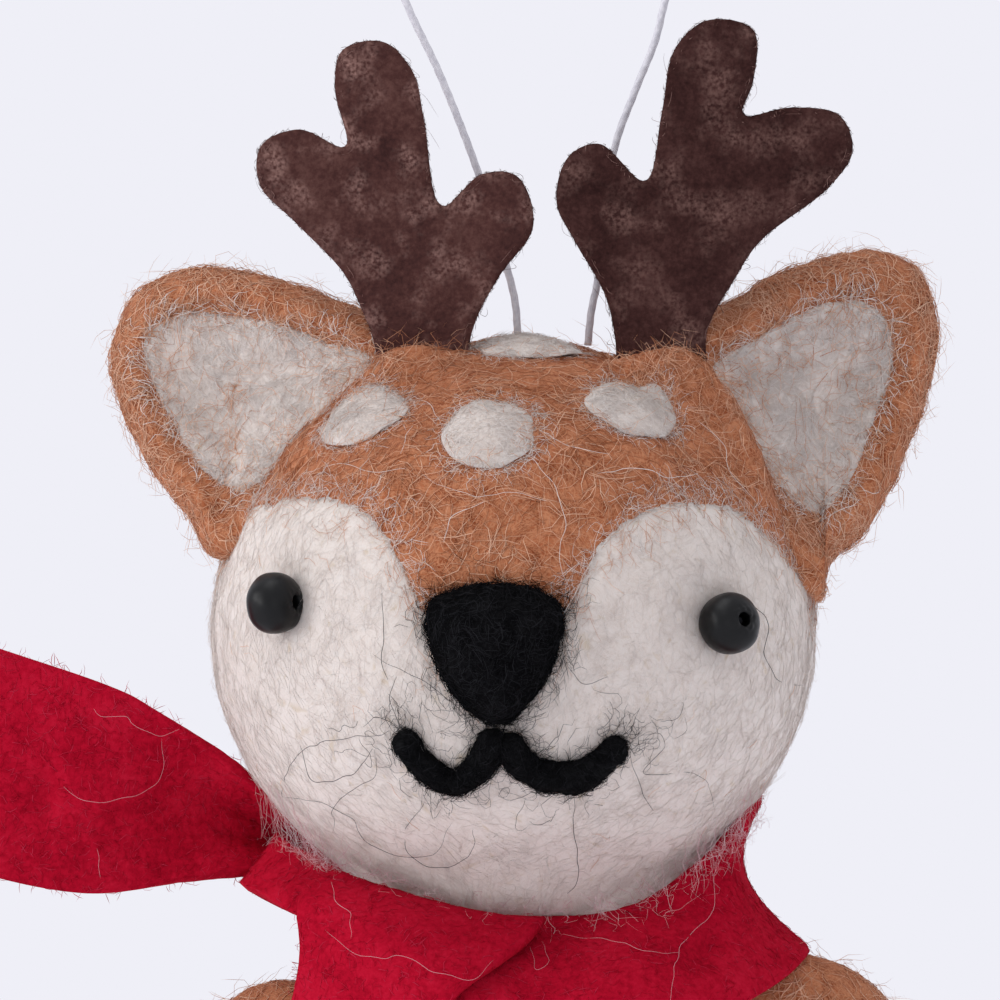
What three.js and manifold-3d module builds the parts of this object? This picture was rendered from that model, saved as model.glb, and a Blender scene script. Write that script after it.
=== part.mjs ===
// A felted reindeer hanging ornament: head, antlers, scarf, body and thread loop.
// Millimetres, +Z up, the face towards -Y. The origin is inside the top of the hanging loop.
// Left and right are the viewer's, facing the face.
import * as THREE from "three";
import { mergeVertices } from "three/addons/utils/BufferGeometryUtils.js";
import Module from "manifold-3d";

const wasm = await Module();
wasm.setup();

// Driving dimensions

const clearance = 0.3;
const overrun = 30;

// Head: an egg of coarse core wool under a coat of dyed wool
const headWidth = 48.2;
const headDepth = 46;
const headHeight = 46;
const coatThickness = 1.8;

// Thread loop, and the stitch that holds it under the wool
const threadDiameter = 0.7;
const stitchDepth = 3.2;
const knotLength = 3.4;
const knotDiameter = 2.6;
// Route of the loop in its own upright plane, as x and z, chosen by hand from exit to exit
const loopRoute = [
  [-1.4, -56.3], [-1.6, -53.6], [-2.4, -50.3], [-4.6, -43.1], [-7.6, -35.4], [-10.4, -29.4],
  [-12.3, -23.6], [-13.0, -17.6], [-12.2, -10.8], [-9.2, -4.6], [-4.9, -0.9], [0, 0.35],
  [4.9, -0.9], [9.2, -4.6], [12.2, -10.8], [13.0, -17.6], [12.3, -23.6], [10.4, -29.4],
  [9.6, -32.6], [8.0, -36.6], [6.3, -41.4], [5.0, -51.8], [4.5, -54.2], [4.2, -57.0],
];

const loopSteps = 62;
const threadSides = 8;
// The head hangs a little aside of the loop's top, with its balance point under it
const headAside = 1.7;
const headBack = 0.4;

// Ears
const earLeftWidth = 24;
const earLeftHeight = 23.2;
const earRightWidth = 21.6;
const earRightHeight = 28;
const earThickness = 6;
const earDish = 2.6;
const earFront = 7;
const earSweepDegrees = 25;
const liningThickness = 1.3;
const liningSink = 0.5;
const liningDish = 1.5;

// Antlers, die-cut from felt sheet
const antlerSheet = 1.2;
const antlerAhead = 6.6;
const antlerLeftWidth = 21.8;
const antlerLeftHeight = 28.5;
const antlerRightWidth = 23.6;
const antlerRightHeight = 30.2;

// Face
const noseWidth = 11.2;
const noseHeight = 11.8;
const noseRise = 3.6;
const mouthWidth = 17.6;
const mouthDrop = 3.8;
const mouthStroke = 2.3;
const beadDiameter = 4.9;
const beadLength = 4.2;
const beadBore = 1.3;
const beadSink = 1.2;
const eyeThread = 0.6;
const eyeThreadRecess = 0.8;
const eyeThreadSteps = 12;
const spotDiameter = 7.6;
const crownSpotWidth = 9;
const spotRise = 0.9;
const padEdge = 0.3;

// Body, arms, legs and tail
const bodyWidth = 36;
const bodyDepth = 31;
const bodyHeight = 41;
const bodyAside = 1.9;
const neckDiameter = 17;
const neckLength = 3;
const armDiameter = 10.4;
const wristDiameter = 8.6;
const legDiameter = 12.4;
const ankleDiameter = 10;
const handHoof = 5;
const footHoof = 6;
const limbSwingDegrees = 12;
const tailDiameter = 7;
const tailLength = 13;

// Scarf, one strip of felt
const scarfSheet = 1.1;
const scarfStrip = 16.6;
const wrapRadius = 20;
const sideTailLength = 37.2;
const frontTailLength = 30;
const sideTailSwingDegrees = 15;

const deg = Math.PI / 180;
const headHalf = new THREE.Vector3(headWidth, headDepth, headHeight).multiplyScalar(1 / 2);

// Shares that place and shape the pieces, taken of the sizes above

// Outline points, as shares of half a width and half a height about the piece's middle
const earLeftShares = [
  [1.0, 0.46], [0.71, 0.7], [0.28, 0.88], [-0.15, 1.0], [-0.61, 0.99], [-0.89, 0.79], [-1.0, 0.44],
  [-0.94, 0.07], [-0.72, -0.39], [-0.49, -0.68], [-0.29, -1.0], [0.19, -0.72], [0.73, -0.1],
];
const earRightShares = [
  [-0.99, 0.5], [-0.47, 0.73], [0.05, 0.94], [0.53, 1.0], [0.86, 0.88], [1.0, 0.57], [0.92, 0.21],
  [0.72, -0.19], [0.46, -0.59], [0.17, -0.79], [0.1, -1.0], [-0.48, -0.66], [-1.0, -0.03],
];
// Where the ear's rim begins, and the rings of the pillow's front and back, as shares from its middle
const rimShare = 0.8;
const frontRingShares = [0.45, 0.74, 0.86, 0.94, 0.985];
const backRingShares = [1, 0.85, 0.5];
const liningLeftShares = [
  [-0.78, 0.52], [-0.56, 0.69], [-0.08, 0.66], [0.38, 0.52], [0.76, 0.37], [0.52, 0.12],
  [0.24, -0.19], [-0.13, -0.54], [-0.38, -0.35], [-0.63, 0.05],
];
const liningRightShares = [
  [-0.69, 0.29], [-0.25, 0.53], [0.26, 0.71], [0.52, 0.68], [0.64, 0.42], [0.49, 0.02],
  [0.32, -0.32], [0.07, -0.51], [-0.26, -0.26], [-0.52, 0.07],
];
const antlerLeftShares = [
  [-0.12, -1.0], [-0.16, -0.69], [-0.27, -0.47], [-0.39, -0.29], [-0.74, -0.01], [-1.0, 0.2],
  [-0.99, 0.42], [-0.71, 0.51], [-0.37, 0.41], [-0.45, 0.73], [-0.4, 0.95], [-0.1, 1.0], [0.12, 0.83],
  [0.2, 0.57], [0.33, 0.08], [0.62, 0.26], [0.88, 0.25], [1.0, -0.03], [0.76, -0.3], [0.6, -0.52],
  [0.53, -0.69], [0.49, -1.0],
];
const antlerRightShares = [
  [-0.57, -1.0], [-0.6, -0.7], [-0.67, -0.45], [-0.88, -0.16], [-1.0, 0.04], [-0.92, 0.28],
  [-0.71, 0.35], [-0.4, 0.15], [-0.29, 0.51], [-0.2, 0.85], [0.02, 1.0], [0.33, 0.95], [0.33, 0.68],
  [0.26, 0.5], [0.57, 0.54], [0.91, 0.5], [1.0, 0.31], [0.84, 0.12], [0.37, -0.17], [0.2, -0.37],
  [0.02, -0.63], [-0.02, -1.0],
];
const noseShares = [
  [-1.0, 0.74], [-0.94, 0.04], [-0.61, -0.57], [-0.19, -0.93], [0.1, -1.0], [0.53, -0.64],
  [0.89, -0.03], [1.0, 0.65], [0.6, 0.93], [0.03, 1.0], [-0.61, 0.92],
];
const mouthLeftShares = [
  [-0.05, 0], [-0.13, -0.27], [-0.28, -0.74], [-0.45, -1.0], [-0.71, -0.5], [-0.91, 0],
];
const mouthRightShares = [
  [0.05, -0.1], [0.21, -0.65], [0.5, -0.95], [0.74, -0.88], [0.97, -0.5], [1.09, -0.1],
];
// Upper edge of the white wool, as shares of the head's half width and half height
const faceEdgeShares = [
  [-1.3, 0.24], [-0.99, 0.26], [-0.88, 0.41], [-0.68, 0.455], [-0.5, 0.41], [-0.385, 0.25],
  [-0.3, 0.06], [-0.2, -0.08], [-0.05, -0.12], [0.1, -0.08], [0.18, 0.08], [0.29, 0.31], [0.45, 0.42],
  [0.65, 0.435], [0.83, 0.34], [0.95, 0.18], [1.02, 0.01], [1.3, -0.04],
];
const faceLowShare = -1.3;
// Back edge of the white wool seen from the side, as shares of the half depth and half height
const faceBackShares = [[0.16, 0.6], [0.18, 0.2], [0.32, -0.3], [0.55, -0.8], [0.8, -1.3]];
const faceFrontShare = -1.3;

// Places on the front of the head, as shares of its half width and half height
const earLeftPlaceShares = [-0.84, 0.741];
const earRightPlaceShares = [0.966, 0.706];
const earLeftRootShares = [[-0.34, 0.974], [-0.987, 0.235]];
const earRightRootShares = [[0.523, 1.009], [1.012, 0.096]];
const antlerLeftPlaceShares = [-0.388, 1.412];
const antlerRightPlaceShares = [0.629, 1.449];
const nosePlaceShares = [-0.053, -0.087];
const mouthPlaceShares = [-0.041, -0.365];
const eyeLeftPlaceShares = [-0.784, 0.091];
const eyeRightPlaceShares = [0.705, 0.022];
const spotPlaceShares = {
  spot_left: [-0.494, 0.748],
  spot_centre: [-0.079, 0.678],
  spot_right: [0.39, 0.765],
};
const crownSpotDirectionShares = [0.04, -0.24, 1];
const boreLeftDirectionShares = [0.85, -0.52, 0.05];
const boreRightDirectionShares = [0.59, -0.79, 0.18];
// Rings under a pad, as shares of its outline
const padUnderShares = [1, 0.6];

// Torso outline from neck to seat, as shares of half its width and of its height
const bodyShares = [
  [0, 0], [0.4, 0.0], [0.64, 0.07], [0.83, 0.2], [0.95, 0.4], [1.0, 0.6], [0.96, 0.77], [0.8, 0.91],
  [0.45, 0.99], [0, 1],
];
// Limb routes from root to tip, as shares of half the body's width, depth and of its height
const armLeftShares = [
  [-0.85, -0.05, -0.15], [-1.2, -0.08, -0.19], [-1.42, -0.14, -0.36], [-1.52, -0.2, -0.6],
];
const armRightShares = [
  [0.85, -0.05, -0.12], [1.25, -0.06, -0.135], [1.54, -0.12, -0.3], [1.67, -0.2, -0.53],
];
const legLeftShares = [[-0.46, -0.04, -0.9], [-0.5, -0.1, -1.18], [-0.52, -0.14, -1.5]];
const legRightShares = [[0.46, -0.04, -0.9], [0.5, -0.1, -1.18], [0.52, -0.14, -1.5]];
const tailPlaceShares = [0, 0.86, -0.74];
const tailTipShares = [0, 0.8, 0.6];
const tailTaperShare = 0.7;

// The wrap at eight stations round the neck, from the viewer's right by the front:
// top radius, top drop, waist, low radius and low drop, as shares of its radius and of the strip
const wrapStationShares = [
  [0.94, 0.0, -0.17, 1.135, 0.75],
  [0.66, 0.5, 0.1, 1.09, 1.0],
  [0.5, 0.6, 0.14, 0.97, 1.17],
  [0.64, 0.5, 0.09, 0.99, 0.66],
  [0.95, 0.2, 0.0, 1.115, 0.43],
  [0.93, 0.14, 0.0, 1.05, 0.66],
  [0.88, 0.08, 0.0, 1.0, 0.92],
  [0.91, 0.03, -0.06, 1.06, 0.88],
];
const wrapTopShare = -0.592;
const wrapAsideShare = 0.025;
// The front tail's two long edges, as turns round the neck, from its top to its end
const frontTailRightTurns = [0.228, 0.29, 0.295, 0.29, 0.285];
const frontTailLeftTurns = [0.415, 0.398, 0.408, 0.405, 0.4];
const frontTailStartShare = 0.1;
const layerStepShare = 1.25;
// The side tail: middle line as shares of its length, and opening as shares of the strip
const sideTailRouteShares = [
  [0, 0, 0], [-0.19, -0.03, 0.06], [-0.379, -0.06, 0.105], [-0.642, -0.08, 0.18], [-1, -0.14, 0.304],
];
const sideTailOpenShares = [0.28, 0.67, 0.98, 1.06, 1.03];
const sideTailPlaceShares = [-0.768, 0.07, -0.748];
const sideTailCurlShare = 0.32;

// Small helpers

const vec = (x, y, z) => new THREE.Vector3(x, y, z);
const half = (size) => size / 2;
const scaled = (shares, width, height) =>
  shares.map(([a, b]) => new THREE.Vector2(a * half(width), b * half(height)));

// Points of a closed smooth line through the given ones
function closedSpline(points, count) {
  const curve = new THREE.CatmullRomCurve3(points.map((p) => vec(p.x, p.y, 0)), true, "centripetal");
  return Array.from({ length: count }, (_, i) => {
    const p = curve.getPoint(i / count);
    return new THREE.Vector2(p.x, p.y);
  });
}

// The outline moved outwards by a distance along its own normals
function offsetOutline(points, distance) {
  const area = THREE.ShapeUtils.area(points);
  return points.map((p, i) => {
    const before = points[(i + points.length - 1) % points.length];
    const after = points[(i + 1) % points.length];
    const along = after.clone().sub(before).normalize();
    const out = new THREE.Vector2(along.y, -along.x).multiplyScalar(Math.sign(area) * distance);
    return p.clone().add(out);
  });
}

// A value that runs smoothly through a list of values as t goes from 0 to 1
function through(values, t) {
  const curve = new THREE.CatmullRomCurve3(values.map((value) => vec(value, 0, 0)), false, "catmullrom");
  return curve.getPoint(t).x;
}

// A geometry as a solid for cutting and joining, turned the right way out
function solidOf(geometry) {
  const bare = geometry.clone();
  bare.deleteAttribute("normal");
  bare.deleteAttribute("uv");
  const merged = mergeVertices(bare, 1e-4);
  const positions = merged.attributes.position.array;
  const corners = Array.from(merged.index.array);
  const kept = [];
  for (let i = 0; i < corners.length; i += 3) {
    const [a, b, c] = corners.slice(i, i + 3);
    if (a !== b && b !== c && c !== a) kept.push(a, b, c);
  }
  const build = (triangles) =>
    new wasm.Manifold(
      new wasm.Mesh({ numProp: 3, vertProperties: positions, triVerts: new Uint32Array(triangles) }),
    );
  const made = build(kept);
  if (made.volume() > 0) return made;
  const turned = [];
  for (let i = 0; i < kept.length; i += 3) turned.push(kept[i], kept[i + 2], kept[i + 1]);
  return build(turned);
}

// A solid back as a geometry
function geometryOf(solid) {
  const { numProp, numVert, vertProperties, triVerts } = solid.getMesh();
  const positions = new Float32Array(numVert * 3);
  for (let i = 0; i < numVert; i++) {
    positions.set(vertProperties.subarray(i * numProp, i * numProp + 3), i * 3);
  }
  const geometry = new THREE.BufferGeometry();
  geometry.setAttribute("position", new THREE.BufferAttribute(positions, 3));
  geometry.setIndex(new THREE.BufferAttribute(new Uint32Array(triVerts), 1));
  geometry.computeVertexNormals();
  return geometry;
}

// A closed skin over rings of points; an end ring of one point is a pole, any other is capped
function ringSolid(rings) {
  const middle = (ring) => ring.reduce((sum, p) => sum.add(p), vec(0, 0, 0)).divideScalar(ring.length);
  const rows = [...rings];
  if (rows[0].length > 1) rows.unshift([middle(rows[0])]);
  if (rows.at(-1).length > 1) rows.push([middle(rows.at(-1))]);
  const points = rows.flat();
  const faces = [];
  let start = 0;
  for (let r = 0; r + 1 < rows.length; r++) {
    const count = Math.max(rows[r].length, rows[r + 1].length);
    const next = start + rows[r].length;
    for (let i = 0; i < count; i++) {
      const j = (i + 1) % count;
      const [a, b] = rows[r].length === 1 ? [start, start] : [start + i, start + j];
      const [c, d] = rows[r + 1].length === 1 ? [next, next] : [next + i, next + j];
      if (a !== b) faces.push(a, b, d);
      if (c !== d) faces.push(a, d, c);
    }
    start = next;
  }
  return solidOf(indexed(points, faces));
}

function indexed(points, faces) {
  const geometry = new THREE.BufferGeometry().setFromPoints(points);
  geometry.setIndex(faces);
  return geometry;
}

// A sheet of cloth: a grid of points given its thickness along its normals, joined round if closed
function sheetSolid(point, thickness, across, along, closed) {
  const step = 1e-3;
  const faceOf = (side) =>
    Array.from({ length: along + 1 }, (_, j) =>
      Array.from({ length: across + (closed ? 0 : 1) }, (_, i) => {
        const u = i / across;
        const v = j / along;
        const [u0, u1] = closed ? [u - step, u + step] : [Math.max(u - step, 0), Math.min(u + step, 1)];
        const du = point(u1, v).sub(point(u0, v));
        const dv = point(u, Math.min(v + step, 1)).sub(point(u, Math.max(v - step, 0)));
        return point(u, v).addScaledVector(du.cross(dv).normalize(), side * half(thickness));
      }),
    );
  const rows = [...faceOf(1), ...faceOf(-1)];
  const width = rows[0].length;
  const at = (side, i, j) => (side * (along + 1) + j) * width + (closed ? i % width : i);
  const faces = [];
  const quad = (a, b, c, d) => faces.push(a, b, c, a, c, d);
  for (let j = 0; j < along; j++) {
    for (let i = 0; i < across; i++) {
      quad(at(0, i, j), at(0, i + 1, j), at(0, i + 1, j + 1), at(0, i, j + 1));
      quad(at(1, i, j), at(1, i, j + 1), at(1, i + 1, j + 1), at(1, i + 1, j));
    }
    if (!closed) {
      quad(at(0, 0, j), at(0, 0, j + 1), at(1, 0, j + 1), at(1, 0, j));
      quad(at(0, across, j), at(1, across, j), at(1, across, j + 1), at(0, across, j + 1));
    }
  }
  for (let i = 0; i < across; i++) {
    quad(at(0, i, 0), at(1, i, 0), at(1, i + 1, 0), at(0, i + 1, 0));
    quad(at(0, i, along), at(0, i + 1, along), at(1, i + 1, along), at(1, i, along));
  }
  return solidOf(indexed(rows.flat(), faces));
}

// A slab of an outline in the upright X-Z plane, from one depth to another
function slab(outline, from, to) {
  const shape = new THREE.Shape(outline);
  const geometry = new THREE.ExtrudeGeometry(shape, { depth: to - from, bevelEnabled: false });
  geometry.rotateX(90 * deg);
  geometry.translate(0, to, 0);
  return solidOf(geometry);
}

// A rounded form that swells and tapers along a route, with a domed root and tip
function limbSolid(route, rootRadius, tipRadius, grow = 0, turnDegrees = 0) {
  const rings = 8;
  const sides = 12;
  const curve = new THREE.CatmullRomCurve3(route, false, "centripetal");
  const length = curve.getLength();
  const frames = curve.computeFrenetFrames(rings);
  const made = [];
  for (let i = 0; i <= rings; i++) {
    const t = half(1 - Math.cos(Math.PI * (i / rings)));
    const place = t * (length + 2 * grow) - grow;
    const inside = Math.min(Math.max(place / length, 0), 1);
    const radius = THREE.MathUtils.lerp(rootRadius, tipRadius, inside) + grow;
    const fromEnd = Math.min(place + grow, length + grow - place);
    const dome = fromEnd < radius ? Math.sqrt(Math.max(1 - (1 - fromEnd / radius) ** 2, 0)) : 1;
    const tangent = curve.getTangentAt(inside);
    const centre = curve.getPointAt(inside).addScaledVector(tangent, place - inside * length);
    const normal = frames.normals[Math.round(inside * rings)];
    const first = normal.clone().addScaledVector(tangent, -normal.dot(tangent)).normalize();
    const second = tangent.clone().cross(first);
    made.push(
      i === 0 || i === rings
        ? [centre]
        : Array.from({ length: sides }, (_, k) => {
            const angle = (360 * deg * k) / sides;
            return centre
              .clone()
              .addScaledVector(first, Math.cos(angle) * radius * dome)
              .addScaledVector(second, Math.sin(angle) * radius * dome);
          }),
    );
  }
  const pivot = route[0];
  const turned = made.map((ring) =>
    ring.map((p) => p.clone().sub(pivot).applyAxisAngle(vec(1, 0, 0), turnDegrees * deg).add(pivot)),
  );
  return ringSolid(turned);
}

// A thread of round section along a route
function threadSolid(route, diameter, steps, sides) {
  const section = new THREE.Shape();
  const corners = Array.from({ length: sides }, (_, i) => {
    const angle = (360 * deg * i) / sides;
    return new THREE.Vector2(Math.cos(angle), Math.sin(angle)).multiplyScalar(half(diameter));
  });
  section.setFromPoints(corners);
  const extrudePath = new THREE.CatmullRomCurve3(route, false, "centripetal");
  return solidOf(new THREE.ExtrudeGeometry(section, { extrudePath, steps, bevelEnabled: false }));
}

// An egg of the head's proportions, larger than the head by a distance all round
function egg(grow) {
  const geometry = new THREE.SphereGeometry(1, 26, 17);
  geometry.rotateX(90 * deg);
  geometry.scale(headHalf.x + grow, headHalf.y + grow, headHalf.z + grow);
  return solidOf(geometry);
}

// The point of the head's surface, or of one lifted from it, in a direction from its middle
function onHead(direction, lift) {
  const reach = vec(
    direction.x / (headHalf.x + lift),
    direction.y / (headHalf.y + lift),
    direction.z / (headHalf.z + lift),
  ).length();
  return direction.clone().divideScalar(reach);
}

// The point on the front of the lifted head that is seen at a place in the front view
function onFace(x, z, lift) {
  const rest = 1 - (x / (headHalf.x + lift)) ** 2 - (z / (headHalf.z + lift)) ** 2;
  return vec(x, -(headHalf.y + lift) * Math.sqrt(Math.max(rest, 0)), z);
}
const atShares = ([a, b]) => [a * headHalf.x, b * headHalf.z];

// A pad of wool that lies on the head: its outline is drawn on the plane that touches the head there
function padOnHead(centre, outline, rise, grow = 0) {
  const rings = 4;
  const normal = centre.clone().divide(headHalf).divide(headHalf).normalize();
  const level = vec(0, 0, 1).cross(normal);
  const side = level.length() > 0.5 ? level.normalize() : vec(1, 0, 0);
  const up = normal.clone().cross(side).normalize();
  const shape = offsetOutline(outline, grow);
  const layer = (share, lift) =>
    shape.map((p) =>
      onHead(centre.clone().addScaledVector(side, p.x * share).addScaledVector(up, p.y * share), lift),
    );
  const top = [];
  for (let i = 1; i <= rings; i++) {
    const share = Math.sin((90 * deg * i) / rings);
    const lift = clearance + padEdge + (rise - padEdge) * Math.sqrt(1 - share ** 2) + grow;
    top.push(layer(share, lift));
  }
  const under = padUnderShares.map((share) => layer(share, clearance - grow));
  const poles = [clearance + rise + grow, clearance - grow].map((lift) => [onHead(centre, lift)]);
  return ringSolid([poles[0], ...top, ...under, poles[1]]);
}
const circle = (width, depth, count) =>
  Array.from({ length: count }, (_, i) => {
    const angle = (360 * deg * i) / count;
    return new THREE.Vector2(Math.cos(angle) * half(width), Math.sin(angle) * half(depth));
  });

const nodes = new Map();
const keep = (name, solid, material) => nodes.set(name, { solid, material });

// Materials
const wool = (color) => new THREE.MeshStandardMaterial({ color, roughness: 0.95, metalness: 0 });
const tanWool = wool(0xb98262);
const whiteWool = wool(0xddd5d1);
const blackWool = wool(0x151618);
const coreWool = wool(0xcbbfa9);
const hoofWool = wool(0x4a352e);
const antlerFelt = wool(0x50332e);
const redFelt = wool(0xad1530);
const greyThread = wool(0xd2d0d8);
const blackThread = wool(0x1b1b1e);
const blackBead = new THREE.MeshStandardMaterial({ color: 0x16171a, roughness: 0.35, metalness: 0 });

// Thread loop

const loopPoints = loopRoute.map(([x, z]) => vec(x, 0, z));
const exitLeft = loopPoints[0];
const exitRight = loopPoints.at(-1);
const headAt = vec(-headAside, headBack, exitLeft.z - clearance - headHalf.z);
const bodyAt = vec(bodyAside, 0, -headHalf.z - neckLength);

const loop = threadSolid(loopPoints, threadDiameter, loopSteps, threadSides);
const loopRoom = threadSolid(loopPoints, threadDiameter + 2 * clearance, loopSteps, threadSides);
keep("hanging_cord", loop, greyThread);

const knotForm = new THREE.SphereGeometry(1, 12, 8);
knotForm.scale(half(knotLength), half(knotDiameter), half(knotDiameter));
knotForm.translate(0, 0, half(threadDiameter));
keep("cord_knot", solidOf(knotForm).subtract(loopRoom), greyThread);

// The stitch dips under the wool between the two exits, in the head's own frame
function stitchSolid(grow) {
  const left = exitLeft.clone().sub(headAt);
  const right = exitRight.clone().sub(headAt);
  const bottom = left.z - stitchDepth;
  const rim = clearance - grow;
  const route = [
    vec(left.x, left.y, left.z - rim),
    vec(left.x, left.y, bottom + half(stitchDepth)),
    vec(left.x + threadDiameter, left.y, bottom),
    vec(right.x - threadDiameter, right.y, bottom),
    vec(right.x, right.y, bottom + half(stitchDepth)),
    vec(right.x, right.y, right.z - rim),
  ];
  return threadSolid(route, threadDiameter + 2 * grow, 12, 6);
}
const stitchRoom = stitchSolid(clearance);

// Antlers

function antler(shares, width, height, place, grow) {
  const [x, z] = atShares(place);
  const outline = closedSpline(scaled(shares, width, height), 44);
  const grown = offsetOutline(outline, grow).map((p) => p.add(new THREE.Vector2(x, z)));
  const reach = half(antlerSheet) + grow;
  return slab(grown, -antlerAhead - reach, -antlerAhead + reach);
}
const antlers = {
  antler_left: (grow) =>
    antler(antlerLeftShares, antlerLeftWidth, antlerLeftHeight, antlerLeftPlaceShares, grow),
  antler_right: (grow) =>
    antler(antlerRightShares, antlerRightWidth, antlerRightHeight, antlerRightPlaceShares, grow),
};
const antlerRoom = antlers.antler_left(clearance).add(antlers.antler_right(clearance));
for (const [name, make] of Object.entries(antlers)) keep(name, make(0), antlerFelt);

// Ears: a pillow whose front is dished inside a rolled rim, swept back from its root

function pillow(outline, front, back, place) {
  const middle = outline.reduce((sum, p) => sum.add(p), new THREE.Vector2()).divideScalar(outline.length);
  const ring = (share, depth) =>
    outline.map((p) => {
      const q = middle.clone().lerp(p, share);
      return place(q.x, q.y, depth(share));
    });
  const frontRings = frontRingShares.map((share) => ring(share, front));
  const backRings = backRingShares.map((share) => ring(share, back));
  const ends = [front(0), back(0)].map((depth) => [place(middle.x, middle.y, depth)]);
  return ringSolid([ends[0], ...frontRings, ring(1, front), ...backRings, ends[1]]);
}

function earPlace(centreShares, rootShares, side) {
  const [cx, cz] = atShares(centreShares);
  const [top, low] = rootShares.map((pair) => new THREE.Vector2(...atShares(pair)));
  const root = low.clone().sub(top).normalize();
  const outward = new THREE.Vector2(root.y, -root.x).multiplyScalar(side);
  const slope = Math.tan(earSweepDegrees * deg);
  return (x, z, depth) => {
    const away = new THREE.Vector2(cx + x, cz + z).sub(top).dot(outward);
    return vec(cx + x, -earFront + half(earThickness) + slope * away + depth, cz + z);
  };
}

function earFrontDepth(share) {
  if (share <= rimShare) return -half(earThickness) + earDish * (1 - (share / rimShare) ** 2);
  return -half(earThickness) * Math.sqrt(1 - ((share - rimShare) / (1 - rimShare)) ** 2);
}
const earBackDepth = (share) => half(earThickness) * Math.sqrt(1 - share ** 2);
const liningFrontDepth = (share) => -half(earThickness) + liningSink + liningDish * (1 - share ** 2);
const liningBackDepth = (share) =>
  liningFrontDepth(share) + padEdge + (liningThickness - padEdge) * (1 - share ** 4);

const headRoom = egg(clearance);
const ears = {
  left: {
    outlineShares: earLeftShares,
    liningShares: liningLeftShares,
    size: [earLeftWidth, earLeftHeight],
    place: earPlace(earLeftPlaceShares, earLeftRootShares, 1),
  },
  right: {
    outlineShares: earRightShares,
    liningShares: liningRightShares,
    size: [earRightWidth, earRightHeight],
    place: earPlace(earRightPlaceShares, earRightRootShares, -1),
  },
};
for (const [name, { outlineShares, liningShares, size, place }] of Object.entries(ears)) {
  const outline = closedSpline(scaled(outlineShares, ...size), 30);
  const inner = closedSpline(scaled(liningShares, ...size), 22);
  const pocket = pillow(
    offsetOutline(inner, clearance),
    () => -earThickness,
    (share) => liningBackDepth(share) + clearance,
    place,
  );
  const lining = pillow(inner, liningFrontDepth, liningBackDepth, place);
  const form = pillow(outline, earFrontDepth, earBackDepth, place);
  keep(`ear_${name}`, form.subtract(pocket).subtract(headRoom).subtract(antlerRoom), tanWool);
  keep(`ear_lining_${name}`, lining.subtract(headRoom).subtract(antlerRoom), whiteWool);
}

// Eyes: a bored bead sunk a little in the wool, with the thread that goes through it into the wool

const eyes = {
  left: [eyeLeftPlaceShares, boreLeftDirectionShares],
  right: [eyeRightPlaceShares, boreRightDirectionShares],
};
const beadReach = half(beadLength);
const eyeRooms = [];
for (const [name, [place, direction]] of Object.entries(eyes)) {
  const centre = onFace(...atShares(place), half(beadDiameter) - beadSink);
  const bore = vec(...direction).normalize();
  const inward = centre.clone().divide(headHalf).divide(headHalf).normalize().negate();
  const bead = (grow) => {
    const form = new THREE.SphereGeometry(1, 16, 10);
    form.scale(half(beadDiameter) + grow, beadReach + grow, half(beadDiameter) + grow);
    form.applyQuaternion(new THREE.Quaternion().setFromUnitVectors(vec(0, 1, 0), bore));
    form.translate(centre.x, centre.y, centre.z);
    return solidOf(form);
  };
  const along = (distance) => centre.clone().addScaledVector(bore, distance);
  const hole = threadSolid([along(beadLength), along(-beadLength)], beadBore, 1, threadSides);
  const leaves = along(-beadReach - eyeThread).addScaledVector(inward, eyeThread);
  const deep = half(beadDiameter) + coatThickness;
  const thread = (grow) => {
    const ends = leaves.clone().addScaledVector(inward, deep + grow);
    const route = [along(beadReach - eyeThreadRecess), along(-beadReach), leaves, ends];
    return threadSolid(route, eyeThread + 2 * grow, eyeThreadSteps, threadSides);
  };
  keep(`eye_bead_${name}`, bead(0).subtract(hole), blackBead);
  keep(`eye_thread_${name}`, thread(0), blackThread);
  eyeRooms.push(bead(clearance).add(thread(clearance)));
}
const eyeRoom = eyeRooms[0].add(eyeRooms[1]);

// Head: core, tan coat and the white wool laid into it

function whiteRegion(grow) {
  const edge = new THREE.SplineCurve(faceEdgeShares.map((pair) => new THREE.Vector2(...atShares(pair))));
  const [[firstShare], [lastShare]] = [faceEdgeShares[0], faceEdgeShares.at(-1)];
  const corners = [lastShare, firstShare].map(
    (share) => new THREE.Vector2(...atShares([share, faceLowShare])),
  );
  const front = offsetOutline([...edge.getPoints(40), ...corners], grow);
  const backEdge = new THREE.SplineCurve(
    faceBackShares.map(([y, z]) => new THREE.Vector2(y * headHalf.y, z * headHalf.z)),
  );
  const sideCorners = [faceBackShares.at(-1)[1], faceBackShares[0][1]].map(
    (z) => new THREE.Vector2(faceFrontShare * headHalf.y, z * headHalf.z),
  );
  const side = offsetOutline([...backEdge.getPoints(6), ...sideCorners], grow);
  const sideShape = new THREE.Shape(side);
  const across = new THREE.ExtrudeGeometry(sideShape, { depth: 2 * headWidth, bevelEnabled: false });
  across.translate(0, 0, -headWidth);
  across.applyMatrix4(new THREE.Matrix4().makeBasis(vec(0, 1, 0), vec(0, 0, 1), vec(1, 0, 0)));
  return slab(front, -headDepth, headDepth).intersect(solidOf(across));
}
const headShell = egg(0).subtract(egg(-coatThickness));
const headCore = egg(-coatThickness - clearance);
const rooms = stitchRoom.add(antlerRoom).add(eyeRoom);
keep("head_core", headCore.subtract(rooms), coreWool);
keep("head_coat", headShell.subtract(whiteRegion(clearance)).subtract(rooms), tanWool);
keep("face_coat", headShell.intersect(whiteRegion(0)).subtract(rooms), whiteWool);
keep("cord_stitch", stitchSolid(0), greyThread);

// Nose, mouth and spots, all laid on the wool

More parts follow.
